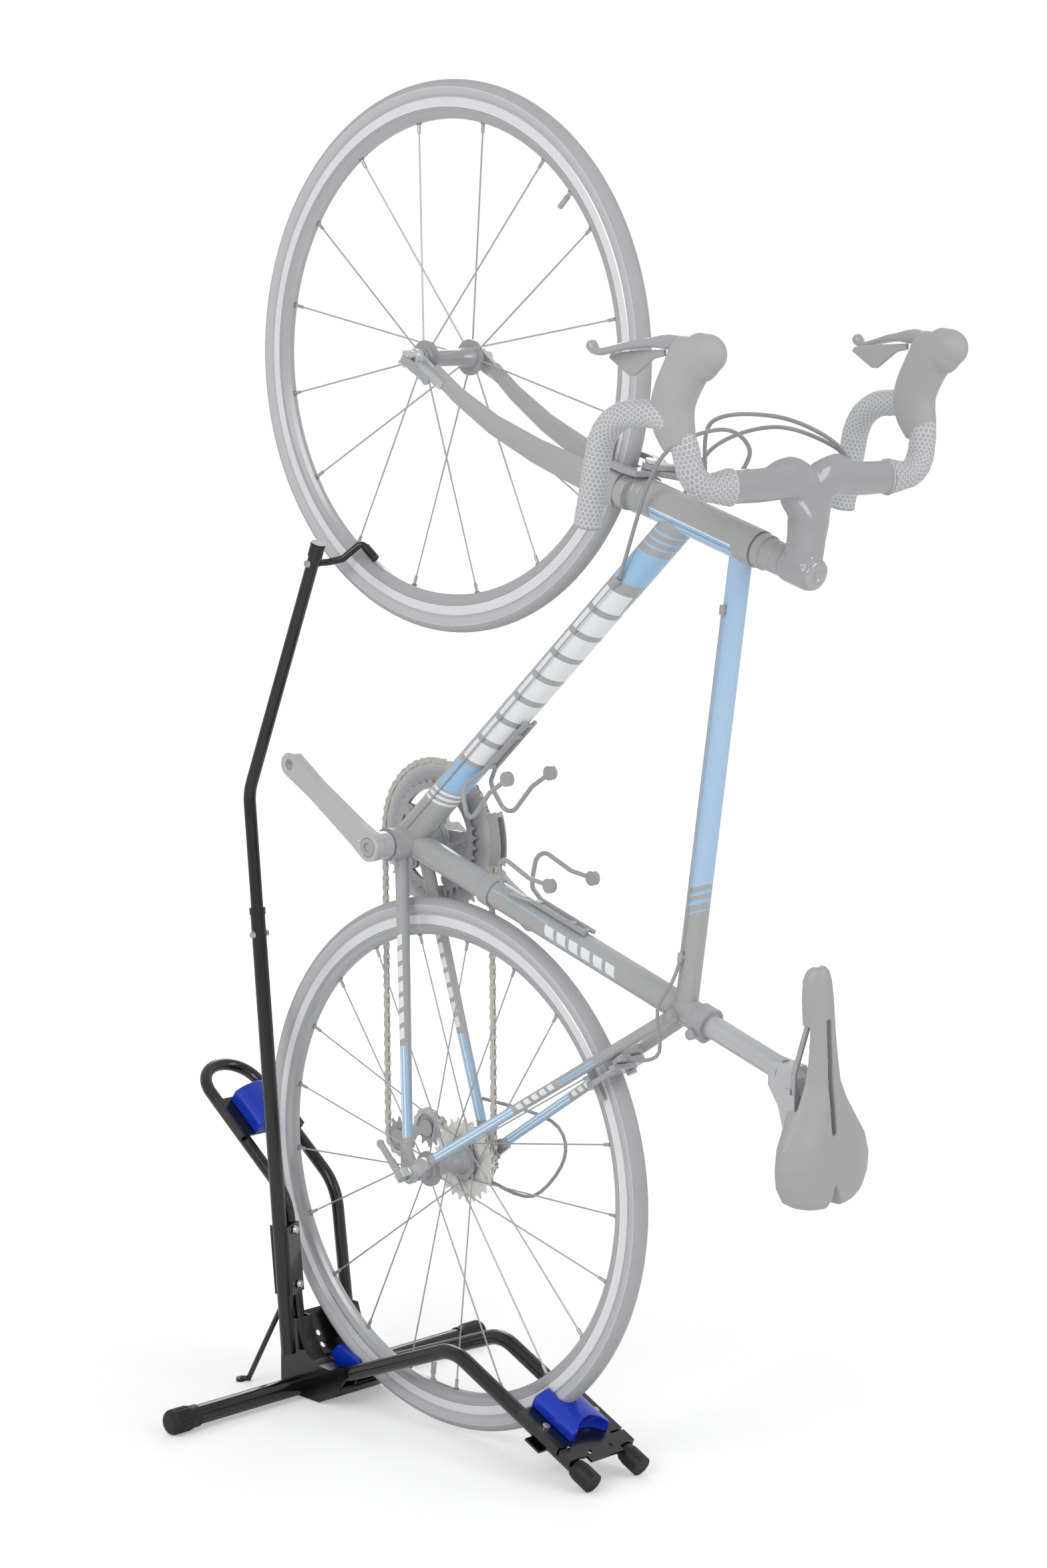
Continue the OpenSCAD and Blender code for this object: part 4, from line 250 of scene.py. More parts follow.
# ---------------------------------------------------------------- stand: end caps
# Moulded plastic caps push over the ends of the tubes: two smooth ones on the front legs and
# two ribbed ones on the cross tube, all with a fine matt grain.
dress(finish("matt_black_plastic", tone(26, 26, 28), 0.45, grain=0.00004, grain_scale=1400), "stand_caps")

# ---------------------------------------------------------------- stand: wheel cradles
# Three blue polyethylene blocks with a groove for the tyre, glossy from the mould.
cradle_blue = finish("blue_plastic", tone(6, 52, 190), 0.3, coat=0.25, shade=0.1, grain=0.00002,
                     grain_scale=500)
dress(cradle_blue, "wheel_cradles")

# ---------------------------------------------------------------- stand: bolts
# Zinc plated carriage bolts and nuts, bright with the faint clouding of plated steel. A domed
# head sits on a washer at each end of the clamp, the hook and the tube joint.
dress(finish("zinc_plate", tone(212, 211, 206), 0.26, metal=1.0, shade=0.1, cloud=160), "stand_bolts")

# ---------------------------------------------------------------- bicycle frame
# Welded aluminium tubes in pale grey lacquer. Pale blue and white panels are masked along each
# tube: plain slanted bars, thin lines and blocks, with clear lacquer over all.


def math_node(tree, operation, first, second=0.0, third=0.0):
    node = new_node(tree, "ShaderNodeMath", {"operation": operation})
    for socket, value in zip(node.inputs, (first, second, third)):
        if isinstance(value, (int, float)):
            socket.default_value = value
        else:
            tree.links.new(value, socket)
    return node.outputs[0]


def paint_over(tree, mask, colour):
    """Where the mask is 1 the shader's colour becomes this one."""
    shader = tree.nodes["Principled BSDF"]
    link = shader.inputs["Base Color"].links[0]
    mix = new_node(tree, "ShaderNodeMix", {"data_type": "RGBA"})
    tree.links.new(mask, mix.inputs[0])
    tree.links.new(link.from_socket, mix.inputs[6])
    mix.inputs[7].default_value = colour
    tree.links.new(mix.outputs[2], shader.inputs["Base Color"])


def steer(along, out=0.0, y=0.0):
    """A place in millimetres from the front hub: up the steering axis, ahead of it, and Y."""
    return front_hub + (steer_up * along + steer_out * (out - 52.0)) / 1000 + Vector((0, y / 1000, 0))


frame_grey = tone(178, 178, 179)
frame_blue = tone(164, 206, 240)
frame_deep_blue = tone(140, 166, 204)
frame_white = tone(246, 247, 250)


class Tube:
    """The lacquer of one tube. Its bars are placed in millimetres along the tube from its
    start and ahead of its middle line, and lean forwards by a share of that."""

    def __init__(self, name, start, end):
        self.material = finish(name + "_lacquer", frame_grey, 0.26, coat=0.5, shade=0.03)
        self.tree = self.material.node_tree
        self.follow(start, end)

    def follow(self, start, end):
        """Later bars are placed along this line."""
        along = (end - start).normalized()
        place = new_node(self.tree, "ShaderNodeTexCoord")
        offset = new_node(self.tree, "ShaderNodeVectorMath", {"operation": "SUBTRACT"})
        offset.inputs[1].default_value = start
        self.tree.links.new(place.outputs["Object"], offset.inputs[0])
        self.axes = []
        for direction in (along, Vector((-along.z, 0, along.x))):
            dot = new_node(self.tree, "ShaderNodeVectorMath", {"operation": "DOT_PRODUCT"})
            dot.inputs[1].default_value = direction * 1000
            self.tree.links.new(offset.outputs[0], dot.inputs[0])
            self.axes.append(dot.outputs["Value"])

    def bar(self, colour, low, high, under=-30.0, over=30.0, lean=0.0, pitch=0.0, solid_part=0.0):
        """A bar of colour from low to high, or a row of blocks with that pitch."""
        tree, (along, ahead) = self.tree, self.axes
        leaned = math_node(tree, "MULTIPLY_ADD", ahead, lean, along)
        mask = math_node(tree, "MULTIPLY",
                         math_node(tree, "COMPARE", leaned, (low + high) / 2, (high - low) / 2),
                         math_node(tree, "COMPARE", ahead, (under + over) / 2, (over - under) / 2))
        if pitch:
            folded = math_node(tree, "MODULO", math_node(tree, "SUBTRACT", leaned, low), pitch)
            mask = math_node(tree, "MULTIPLY", mask, math_node(tree, "LESS_THAN", folded, solid_part))
        paint_over(tree, mask, colour)


head = Tube("head_tube", steer(366), steer(542))
head.bar(frame_blue, 20, 150, -19, -2)
for line in (-3.5, -17.5):
    head.bar(frame_white, 20, 150, line - 0.9, line + 0.9)
head.bar(frame_deep_blue, 20, 150, -9.2, -7.2)
head.bar(frame_white, 20, 150, -12.6, -11.8)

down = Tube("down_tube", at(-68, 0, 737.8), steer(426))
for stripe in (84, 93, 102):
    down.bar(frame_white, stripe, stripe + 4.5, -30, 17, 0.45)
down.bar(frame_blue, 110, 162, -30, 15, 0.45)
down.bar(frame_white, 170, 506, -18.5, 12.5, 0.35, 42, 33)
down.bar(frame_blue, 176, 500, 15.5, 16.6)
down.bar(frame_blue, 514, 566, -30, 16, 0.45)
for stripe in (576, 587, 598):
    down.bar(frame_blue, stripe, stripe + 3.5, -30, 30, 0.45)

top = Tube("top_tube", at(396.3, 0, 594.1), at(479.0, 0, 1142.2))
top.bar(tone(180, 210, 240), 150, 538, -30, 30, 0.5)
for stripe, thick in ((139, 4), (128, 5), (118, 2)):
    top.bar(frame_blue, stripe, stripe + thick, -30, 30, 0.5)
top.bar(frame_white, 150, 320, 9.4, 11.0)

seat = Tube("seat_tube", at(-68, 0, 737.8), at(-68, 0, 737.8) + seat_up)
seat.bar(frame_blue, 165, 262, 8.6, 10.0)
seat.bar(frame_white, 262, 388, -5.5, 7.5, 0.35, 21, 15)
seat.bar(frame_blue, 268, 388, -8.8, -7.6)

stays = Tube("seat_stay", at(0, 0, 339.6), at(398.2, 0, 593.5))
stays.bar(frame_blue, 52, 196, -5.5, 5.5)
for line in (-2.2, 2.0):
    stays.bar(frame_white, 52, 196, line - 0.8, line + 0.8)
stays.bar(frame_white, 204, 270, -3.6, 3.6, 0.35, 14, 9)
for line in (-3.2, 0.6):
    stays.bar(frame_blue, 276, 340, line - 0.9, line + 0.9, 0.2)
stays.follow(at(-8, 0, 374.6), at(-62, 0, 700))
stays.bar(frame_blue, 8, 120, -6.5, 6.5)
for line in (-2.8, 1.2):
    stays.bar(frame_white, 8, 120, line - 0.8, line + 0.8)
stays.bar(frame_white, 128, 258, -4.4, 4.4, 0.35, 19, 13)

dress(head.material, "head_tube")
dress(down.material, "down_tube")
dress(top.material, "top_tube")
dress(seat.material, "seat_tube")
dress(stays.material, "rear_stays")
plain_lacquer = finish("plain_lacquer", frame_grey, 0.26, coat=0.5, shade=0.03)
dress(plain_lacquer, "fork_crown", "fork_blades")

# ---------------------------------------------------------------- wheels: rims
# Deep box rims: the brake track at the edge is bright alloy turned in fine rings, and the
# body below it is lacquered in smooth pale grey.


def from_hub(tree, hub):
    """Radius from a hub's axle line and the angle round it, from the object's own place."""
    place = new_node(tree, "ShaderNodeTexCoord")
    offset = new_node(tree, "ShaderNodeVectorMath", {"operation": "SUBTRACT"})
    offset.inputs[1].default_value = hub
    flat = new_node(tree, "ShaderNodeVectorMath", {"operation": "MULTIPLY"})
    flat.inputs[1].default_value = (1, 0, 1)
    radius = new_node(tree, "ShaderNodeVectorMath", {"operation": "LENGTH"})
    parts = new_node(tree, "ShaderNodeSeparateXYZ")
    angle = new_node(tree, "ShaderNodeMath", {"operation": "ARCTAN2"})
    tree.links.new(place.outputs["Object"], offset.inputs[0])
    tree.links.new(offset.outputs[0], flat.inputs[0])
    tree.links.new(flat.outputs[0], radius.inputs[0])
    tree.links.new(offset.outputs[0], parts.inputs[0])
    tree.links.new(parts.outputs["Z"], angle.inputs[0])
    tree.links.new(parts.outputs["X"], angle.inputs[1])
    return radius.outputs["Value"], angle.outputs[0], parts.outputs["Y"]


def relief(tree, height, depth):
    """Bumps of that depth in metres over whatever relief is there."""
    shader = tree.nodes["Principled BSDF"]
    bump = new_node(tree, "ShaderNodeBump", Distance=depth, Strength=1.0)
    if shader.inputs["Normal"].links:
        tree.links.new(shader.inputs["Normal"].links[0].from_socket, bump.inputs["Normal"])
    tree.links.new(height, bump.inputs["Height"])
    tree.links.new(bump.outputs["Normal"], shader.inputs["Normal"])


rim_edge = 0.3123
for side, hub in (("front", front_hub), ("rear", rear_hub)):
    bright = finish(side + "_rim_alloy", tone(240, 240, 243), 0.24, metal=0.2, coat=0.3, shade=0.02, cloud=30)
    radius, angle, across = from_hub(bright.node_tree, hub)
    rings = math_node(bright.node_tree, "SINE", math_node(bright.node_tree, "MULTIPLY", radius, 9000.0))
    relief(bright.node_tree, rings, 0.00002)
    body = math_node(bright.node_tree, "LESS_THAN", radius, rim_edge - 0.0118)
    paint_over(bright.node_tree, body, tone(186, 186, 188))
    line = math_node(bright.node_tree, "COMPARE", radius, rim_edge - 0.0121, 0.0005)
    paint_over(bright.node_tree, line, tone(160, 160, 163))
    dress(bright, side + "_rim")

# ---------------------------------------------------------------- wheels: tyres
# Slick road tyres: a smooth crown with a fine slanted file tread on each shoulder, a paler
# side wall with a fine grain, and a moulded line where they meet.
for side, hub in (("front", front_hub), ("rear", rear_hub)):
    rubber = finish(side + "_tyre_rubber", tone(181, 181, 183), 0.62, shade=0.04, grain=0.00004)
    tree = rubber.node_tree
    radius, angle, across = from_hub(tree, hub)
    off_middle = math_node(tree, "ABSOLUTE", across)
    shoulder = math_node(tree, "COMPARE", off_middle, 0.0062, 0.0026)
    slanted = math_node(tree, "ADD", math_node(tree, "MULTIPLY", angle, 420.0),
                        math_node(tree, "MULTIPLY", off_middle, 1500.0))
    ribs = math_node(tree, "MULTIPLY", math_node(tree, "SINE", slanted), shoulder)
    relief(tree, ribs, 0.00012)
    wall = math_node(tree, "LESS_THAN", radius, 0.3245)
    paint_over(tree, wall, tone(199, 199, 201))
    seam = math_node(tree, "COMPARE", radius, 0.3245, 0.0004)
    paint_over(tree, seam, tone(222, 222, 223))
    dress(rubber, side + "_tyre")

# ---------------------------------------------------------------- wheels: eyelets
# Every spoke pulls on a nipple in a small pressed eyelet on the rim's inner face. One eyelet
# is repeated evenly round the wheel, starting at its first spoke.


def ring_of(name, count, radius, first, centre, seed_mesh, material, body):
    """Geometry Nodes: one small mesh repeated evenly round the Y axis through a centre."""
    tree = bpy.data.node_groups.new(name + "_nodes", "GeometryNodeTree")
    tree.interface.new_socket("Geometry", in_out="OUTPUT", socket_type="NodeSocketGeometry")
    sockets = {}
    for label, kind in (("Count", "NodeSocketInt"), ("Radius", "NodeSocketFloat"),
                        ("First Angle", "NodeSocketFloat"), ("Centre", "NodeSocketVector"),
                        ("One", "NodeSocketObject"), ("Finish", "NodeSocketMaterial")):
        sockets[label] = tree.interface.new_socket(label, in_out="INPUT", socket_type=kind)
    entry = tree.nodes.new("NodeGroupInput")
    leave = tree.nodes.new("NodeGroupOutput")
    circle = tree.nodes.new("GeometryNodeMeshCircle")
    info = tree.nodes.new("GeometryNodeObjectInfo")
    place = tree.nodes.new("GeometryNodeInstanceOnPoints")
    index = tree.nodes.new("GeometryNodeInputIndex")
    share = tree.nodes.new("ShaderNodeMath")
    share.operation = "DIVIDE"
    turn = tree.nodes.new("ShaderNodeMath")
    turn.operation = "MULTIPLY"
    turn.inputs[1].default_value = 2 * math.pi
    aim = tree.nodes.new("ShaderNodeCombineXYZ")
    first_turn = tree.nodes.new("ShaderNodeCombineXYZ")
    whole = tree.nodes.new("GeometryNodeTransform")
    upright = tree.nodes.new("GeometryNodeTransform")
    real = tree.nodes.new("GeometryNodeRealizeInstances")
    paint = tree.nodes.new("GeometryNodeSetMaterial")
    upright.inputs["Rotation"].default_value = (math.pi / 2, 0, 0)
    link = tree.links.new
    link(entry.outputs["Count"], circle.inputs["Vertices"])
    link(entry.outputs["Radius"], circle.inputs["Radius"])
    link(entry.outputs["One"], info.inputs["Object"])
    link(circle.outputs[0], place.inputs["Points"])
    link(info.outputs["Geometry"], place.inputs["Instance"])
    link(index.outputs[0], share.inputs[0])
    link(entry.outputs["Count"], share.inputs[1])
    link(share.outputs[0], turn.inputs[0])
    link(turn.outputs[0], aim.inputs["Z"])
    link(aim.outputs[0], place.inputs["Rotation"])
    link(place.outputs[0], whole.inputs["Geometry"])
    link(entry.outputs["First Angle"], first_turn.inputs["Z"])
    link(first_turn.outputs[0], whole.inputs["Rotation"])
    link(whole.outputs[0], upright.inputs["Geometry"])
    link(entry.outputs["Centre"], upright.inputs["Translation"])
    link(upright.outputs[0], real.inputs[0])
    link(real.outputs[0], paint.inputs["Geometry"])
    link(entry.outputs["Finish"], paint.inputs["Material"])
    link(paint.outputs[0], leave.inputs[0])
    one = bpy.data.objects.new(name + "_one", seed_mesh)
    holder = bpy.data.objects.new(name, bpy.data.meshes.new(name + "_points"))
    for thing in (one, holder):
        bpy.context.scene.collection.objects.link(thing)
    repeat = holder.modifiers.new("repeat", "NODES")
    repeat.node_group = tree
    for label, value in (("Count", count), ("Radius", radius), ("First Angle", first),
                         ("Centre", centre), ("One", one), ("Finish", material)):
        repeat[sockets[label].identifier] = value
    ready = holder.evaluated_get(bpy.context.evaluated_depsgraph_get())
    mesh = bpy.data.meshes.new_from_object(ready)
    holder.modifiers.clear()
    holder.data = mesh
    bpy.data.objects.remove(one)
    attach(holder, body)
    return holder


def eyelet_mesh():
    """A low dome with a hole's shadow, its axis along +X towards the tyre."""
    shape = bmesh.new()
    rings = ((0.0, 0.0034), (-0.0009, 0.0034), (-0.0016, 0.0026), (-0.0016, 0.0016), (-0.0006, 0.0013))
    loops = [[shape.verts.new((depth, r * math.cos(k * math.pi / 9), r * math.sin(k * math.pi / 9)))
              for k in range(18)] for depth, r in rings]
    for inner, outer in zip(loops, loops[1:]):
        for k in range(18):
            shape.faces.new((inner[k], inner[(k + 1) % 18], outer[(k + 1) % 18], outer[k]))
    shape.faces.new(loops[0][::-1])
    shape.faces.new(loops[-1])
    bmesh.ops.recalc_face_normals(shape, faces=shape.faces)
    mesh = bpy.data.meshes.new("eyelet")
    shape.to_mesh(mesh)
    shape.free()
    return mesh


alloy = finish("polished_alloy", tone(228, 229, 232), 0.24, metal=0.7, shade=0.04, cloud=30)
steel = finish("steel_wire", tone(190, 190, 192), 0.3, metal=0.6, shade=0.06, cloud=60)
rim_bed = 0.2871
eyelet_finish = finish("eyelet_steel", tone(150, 150, 153), 0.35, metal=0.8, shade=0.05, cloud=200)
ring_of("front_eyelets", 16, rim_bed - 0.0002, math.radians(10.1), front_hub, eyelet_mesh(), eyelet_finish,
        "front_wheel")
ring_of("rear_eyelets", 21, rim_bed - 0.0002, math.radians(32.1), rear_hub, eyelet_mesh(), eyelet_finish,
        "rear_wheel")

# ---------------------------------------------------------------- wheels: spokes, hubs, skewers
# Thin stainless spokes, anodised hub shells and bright axles, the shells in faded grey.
dress(steel, "front_spokes", "rear_spokes")
dress(alloy, "front_axle", "rear_axle")
hub_black = finish("hub_anodised", tone(172, 172, 174), 0.28, metal=0.2, coat=0.4, shade=0.04)
dress(hub_black, "front_hub", "rear_hub")

# ---------------------------------------------------------------- drivetrain
# Nickel plated chain and sprockets, and chainrings with pale teeth on their own dark plates. The discs
# are brighter at the edge and darker towards the middle: on the chainrings that is the plate's colour,
# on the sprockets it is painted shade where they shade each other.


def plated(name, pale, dark, hub, inner, outer, rough=0.3, metal=0.6):
    """A disc finish that runs from dark at the inner radius to pale at the outer."""
    material = finish(name, pale, rough, metal=metal, shade=0.05, cloud=90)
    tree = material.node_tree
    radius, angle, across = from_hub(tree, hub)
    inward = new_node(tree, "ShaderNodeMapRange")
    inward.inputs["From Min"].default_value = inner
    inward.inputs["From Max"].default_value = outer
    inward.inputs["To Min"].default_value = 1.0
    inward.inputs["To Max"].default_value = 0.0
    tree.links.new(radius, inward.inputs["Value"])
    paint_over(tree, inward.outputs[0], dark)
    return material


bottom_bracket = Vector(joints["crank_spin"]["pos_m"])
# Painted shade: the sprockets darken towards the hub, where they shade each other.
dress(plated("sprocket_nickel", tone(236, 235, 230), tone(170, 170, 172), rear_hub, 0.018, 0.034,
             metal=0.3), "cassette")
dress(plated("ring_black", tone(226, 226, 227), tone(182, 182, 184), bottom_bracket, 0.082, 0.098,
             metal=0.25), "chainrings")
dress(finish("chain_nickel", tone(214, 211, 203), 0.3, metal=0.35, shade=0.1, cloud=260), "chain")
dress(finish("pulley_black", tone(172, 172, 174), 0.45, shade=0.05), "guide_pulley", "tension_pulley")

# ---------------------------------------------------------------- castings
# Forged and moulded parts have no sharp edge anywhere. Each of these takes its CAD node's
# shape, skinned finely and then smoothed, so that its edges roll over.


def settle(name, mesh, grain, rounds, material, body):
    """One closed skin of that grain over everything in the mesh, smoothed so many rounds."""
    piece = bpy.data.objects.new(name, mesh)
    bpy.context.scene.collection.objects.link(piece)
    skin = piece.modifiers.new("skin", "REMESH")
    skin.mode = "VOXEL"
    skin.voxel_size = grain
    soft = piece.modifiers.new("soft", "SMOOTH")
    soft.factor = 0.5
    soft.iterations = rounds
    ready = piece.evaluated_get(bpy.context.evaluated_depsgraph_get())
    smooth = bpy.data.meshes.new_from_object(ready)
    piece.modifiers.clear()
    piece.data = smooth
    smooth.materials.clear()
    smooth.materials.append(material)
    smooth.shade_smooth()
    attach(piece, body)
    return piece


def cast(node, grain, rounds, material, body=None):
    """A smoothed copy of a CAD node that stands for it."""
    body = body or nodes[node]["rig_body"]
    piece = settle(node + "_cast", nodes[node].data.copy(), grain, rounds, material, body)
    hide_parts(node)
    return piece


gloss_grey = finish("gloss_black_ghost", tone(174, 174, 176), 0.16, coat=0.6, shade=0.02)
satin_grey = finish("satin_black_ghost", tone(178, 178, 179), 0.34, coat=0.2, shade=0.03)
crank_grey = finish("crank_silver_grey", tone(203, 203, 204), 0.26, metal=0.3, coat=0.3, shade=0.03)
cast("wheel_cradles", 0.0009, 6, cradle_blue)
cast("fork_crown", 0.0011, 8, plain_lacquer)
cast("crank_arms", 0.0010, 6, crank_grey)
for node in ("front_brake_arm_left", "front_brake_arm_right", "rear_brake_arm_left", "rear_brake_arm_right"):
    cast(node, 0.0007, 4, gloss_grey)
cast("derailleurs", 0.0008, 2, satin_grey)
cast("front_skewer_lever", 0.0006, 4, gloss_grey)
cast("rear_skewer_lever", 0.0006, 4, gloss_grey)
dress(finish("cage_wire", tone(168, 168, 171), 0.2, coat=0.5, shade=0.03), "bottle_cages")
dress(alloy, "fork_fittings")
dress(gloss_grey, "frame_bearings", "frame_fittings")
dress(finish("seatpost_alloy", tone(202, 202, 204), 0.24, metal=0.3, coat=0.3, shade=0.03), "seatpost")
dress(steel, "saddle_rails")

# ---------------------------------------------------------------- saddle
# A long race saddle: a synthetic cover stretched over a shell, padded in two lobes at the tail
# with a pressure channel between them.
saddle_mesh = nodes["saddle"].data
low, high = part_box("saddle")
saddle_long = high.z - low.z
saddle_cover = finish("saddle_cover", tone(176, 176, 177), 0.42, shade=0.02, grain=0.00005, grain_scale=1600)
saddle = settle("saddle_pad", saddle_mesh.copy(), 0.0012, 14, saddle_cover, "seat")
for vertex in saddle.data.vertices:
    ahead = (vertex.co.z - low.z) / saddle_long
    top_side = max(0.0, min(1.0, (vertex.co.x - (high.x - 0.022)) / 0.012))
    lobe = math.exp(-((abs(vertex.co.y) - 0.036) / 0.017) ** 2) * math.exp(-((ahead - 0.2) / 0.2) ** 2)
    channel = math.exp(-(vertex.co.y / 0.0075) ** 2) * math.exp(-((ahead - 0.42) / 0.34) ** 4)
    vertex.co.x += top_side * (0.0022 * lobe - 0.0035 * channel)
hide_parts("saddle")

# ---------------------------------------------------------------- bar and stem
# One moulded carbon piece: a clamp round the steerer, a thick neck, and a flattened bar that
# swells into a hump each side of the neck, all under a deep gloss lacquer.


def oval(wide, high, power=2.0, corners=36):
    """An outline in millimetres: power 2 is an ellipse and more is squarer."""
    points = []
    for k in range(corners):
        c, s = math.cos(2 * math.pi * k / corners), math.sin(2 * math.pi * k / corners)
        points.append((wide * math.copysign(abs(c) ** (2 / power), c),
                       high * math.copysign(abs(s) ** (2 / power), s)))
    return points


def sweep(line, outline_at, side):
    """Outlines in millimetres set square along a line of points, which may turn back into a
    recess. The corner marks are metres along and the share of a turn round."""
    verts, faces, marks, gone = [], [], [], [0.0]
    heading = line[1] - line[0]
    for here, there in zip(line, line[1:]):
        gone.append(gone[-1] + (there - here).length)
    last = len(line) - 1
    for k, point in enumerate(line):
        ahead = (line[min(k + 1, last)] - line[max(k - 1, 0)]).normalized()
        ahead = heading = -ahead if ahead.dot(heading) < 0 else ahead
        side = (side - ahead * side.dot(ahead)).normalized()
        other = ahead.cross(side)
        ring = outline_at(gone[k], k / last)
        verts += [point + (side * a + other * b) / 1000 for a, b in ring]
    n = len(ring)
    for k in range(last):
        for j in range(n):
            i = (j + 1) % n
            faces.append((k * n + j, k * n + i, (k + 1) * n + i, (k + 1) * n + j))
            here, there, low, high = gone[k], gone[k + 1], j / n, (j + 1) / n
            marks.append(((here, low), (here, high), (there, high), (there, low)))
    faces += [tuple(range(n))[::-1], tuple(last * n + j for j in range(n))]
    marks += [((0, 0),) * n] * 2
    return verts, faces, marks


def solid(name, parts):
    """One mesh from several swept parts, with their marks as its UV map, faces outwards."""
    verts, faces, marks = [], [], []
    for part_verts, part_faces, part_marks in parts:
        volume = sum(part_verts[f[0]].dot(part_verts[f[k]].cross(part_verts[f[k + 1]]))
                     for f in part_faces for k in range(1, len(f) - 1))
        turn = -1 if volume < 0 else 1
        faces += [tuple(len(verts) + v for v in f[::turn]) for f in part_faces]
        marks += [m[::turn] for m in part_marks]
        verts += part_verts
    mesh = bpy.data.meshes.new(name)
    mesh.from_pydata([tuple(v) for v in verts], [], faces)
    layer = mesh.uv_layers.new(name="wrap")
    flat = [c for m in marks for corner in m for c in corner]
    layer.data.foreach_set("uv", flat)
    mesh.shade_smooth()
    mesh.set_sharp_from_angle(angle=math.radians(50))
    return mesh


def show(name, mesh, material, body, slot_name, *stands_for):
    piece = bpy.data.objects.new(name, mesh)
    bpy.context.scene.collection.objects.link(piece)
    mesh.materials.append(material)
    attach(piece, body)
    if stands_for:
        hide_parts(*stands_for)
    return piece


def bent(corners, bends, step=0.003):
    """The middle line of a tube bent at each inner corner, as even points."""
    raw = [corners[0]]
    for before, corner, after, bend in zip(corners, corners[1:], corners[2:], bends):
        back, ahead = (before - corner).normalized(), (after - corner).normalized()
        half = back.angle(ahead) / 2
        centre = corner + (back + ahead).normalized() * (bend / math.sin(half))
        arm_in = corner + back * (bend / math.tan(half)) - centre
        arm_out = corner + ahead * (bend / math.tan(half)) - centre
        for k in range(17):
            raw.append(centre + arm_in.normalized().slerp(arm_out.normalized(), k / 16) * bend)
    raw.append(corners[-1])
    return even(raw, step)


def even(raw, step):
    """The same line with points at an even step."""
    gone = [0.0]
    for here, there in zip(raw, raw[1:]):
        gone.append(gone[-1] + (there - here).length)
    count = max(2, round(gone[-1] / step))
    out, k = [], 0
    for n in range(count + 1):
        want = gone[-1] * n / count
        while k < len(raw) - 2 and gone[k + 1] < want:
            k += 1
        span = gone[k + 1] - gone[k]
        out.append(raw[k].lerp(raw[k + 1], 0 if span < 1e-9 else min(1.0, (want - gone[k]) / span)))
    return out


def flowing(points, step=0.002):
    """A smooth line through all the points."""
    raw = []
    padded_points = [points[0] * 2 - points[1]] + list(points) + [points[-1] * 2 - points[-2]]
    for a, b, c, d in zip(padded_points, padded_points[1:], padded_points[2:], padded_points[3:]):
        for k in range(12):
            t = k / 12
            raw.append(0.5 * ((2 * b) + (c - a) * t + (2 * a - 5 * b + 4 * c - d) * t * t
                              + (3 * b - a - 3 * c + d) * t ** 3))
    raw.append(points[-1])
    return even(raw, step)


def steps(table, share):
    """A value read from (share, value) stations with smooth steps between them."""
    for (s0, v0), (s1, v1) in zip(table, table[1:]):
        if share <= s1:
            t = max(0.0, (share - s0) / (s1 - s0))
            return v0 + (v1 - v0) * t * t * (3 - 2 * t)
    return table[-1][1]


def turned(table):
    """A round outline whose radius is read from (share, radius) stations."""
    return lambda gone, share: oval(steps(table, share), steps(table, share))


def lathe(radii, corners=36):
    """Round outlines, one radius for each point of the line."""
    return lambda gone, share: oval(*[radii[round(share * (len(radii) - 1))]] * 2, 2.0, corners)


bar_axis = at(580.355, 0, 1225.218)
bar_middle = bar_axis - steer_out * 0.0125
clamp_low, clamp_high = 583.0, 627.0
bar_top_half = 134.0
y_axis = Vector((0, 1, 0))
neck_line = flowing([steer(605), steer(603, 28), steer(598, 60), bar_middle - steer_out * 0.016, bar_middle],
                    0.003)
neck_wide = ((0, 21), (0.3, 24), (0.58, 28), (0.8, 40), (1, 66))
neck_deep = ((0, 20.5), (0.4, 17.5), (1, 13.5))
neck = sweep(neck_line, lambda gone, share: oval(steps(neck_deep, share), steps(neck_wide, share), 2.3),
             steer_up)
clamp_line = [steer(clamp_low + (clamp_high - clamp_low) * k / 12) for k in range(13)]
clamp_size = ((0, 18.6), (0.12, 20.6), (0.86, 20.6), (1, 18.2))
clamp = sweep(clamp_line, turned(clamp_size), steer_out)
bar_line = [bar_middle + y_axis * (bar_top_half * (k / 40 - 1) / 1000) for k in range(81)]
bar_line = [p + steer_out * (0.0065 * math.exp(-((abs(p.y) - 0.040) / 0.022) ** 2)
                             - 0.0085 * math.exp(-(p.y / 0.013) ** 2)) for p in bar_line]
bar_chord = ((0, 18.5), (0.2, 19.0), (0.36, 23.5), (0.5, 21.0), (0.64, 23.5), (0.8, 19.0), (1, 18.5))
bar_thick = ((0, 11.5), (0.3, 12), (0.4, 15.5), (0.5, 14.5), (0.6, 15.5), (0.7, 12), (1, 11.5))
bar = sweep(bar_line, lambda gone, share: oval(steps(bar_thick, share), steps(bar_chord, share), 2.4),
            Vector((1, 0, 0)))
carbon = settle("bar_and_stem", solid("bar_and_stem", [neck, clamp, bar]), 0.0013, 16, gloss_grey, "steering")
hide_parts("handlebar_stem", "handlebar")
spacer_sizes = ((0, 19.0), (0.04, 20.6), (0.3, 20.6), (0.34, 18.4), (0.62, 18.4), (0.66, 17.6), (0.7, 18.4),
                (1, 18.4))
spacer_line = [steer(542.4 + (clamp_low + 0.6 - 542.4) * k / 40) for k in range(41)]
show("headset_spacers", solid("headset_spacers", [sweep(spacer_line, turned(spacer_sizes), steer_out)]),
     satin_grey, "steering", "parts_grey")
cap_line = [steer(clamp_high + h) for h in (-1.0, 0.0, 1.6, 2.6, 3.0, 2.4, 1.2)]
cap_sizes = (17.6, 17.6, 17.2, 15.4, 7.0, 6.4, 4.0)
show("top_cap", solid("top_cap", [sweep(cap_line, lathe(cap_sizes), steer_out)]),
     finish("cap_grey", tone(186, 186, 188), 0.2, metal=0.3, coat=0.4), "steering", "parts_grey")

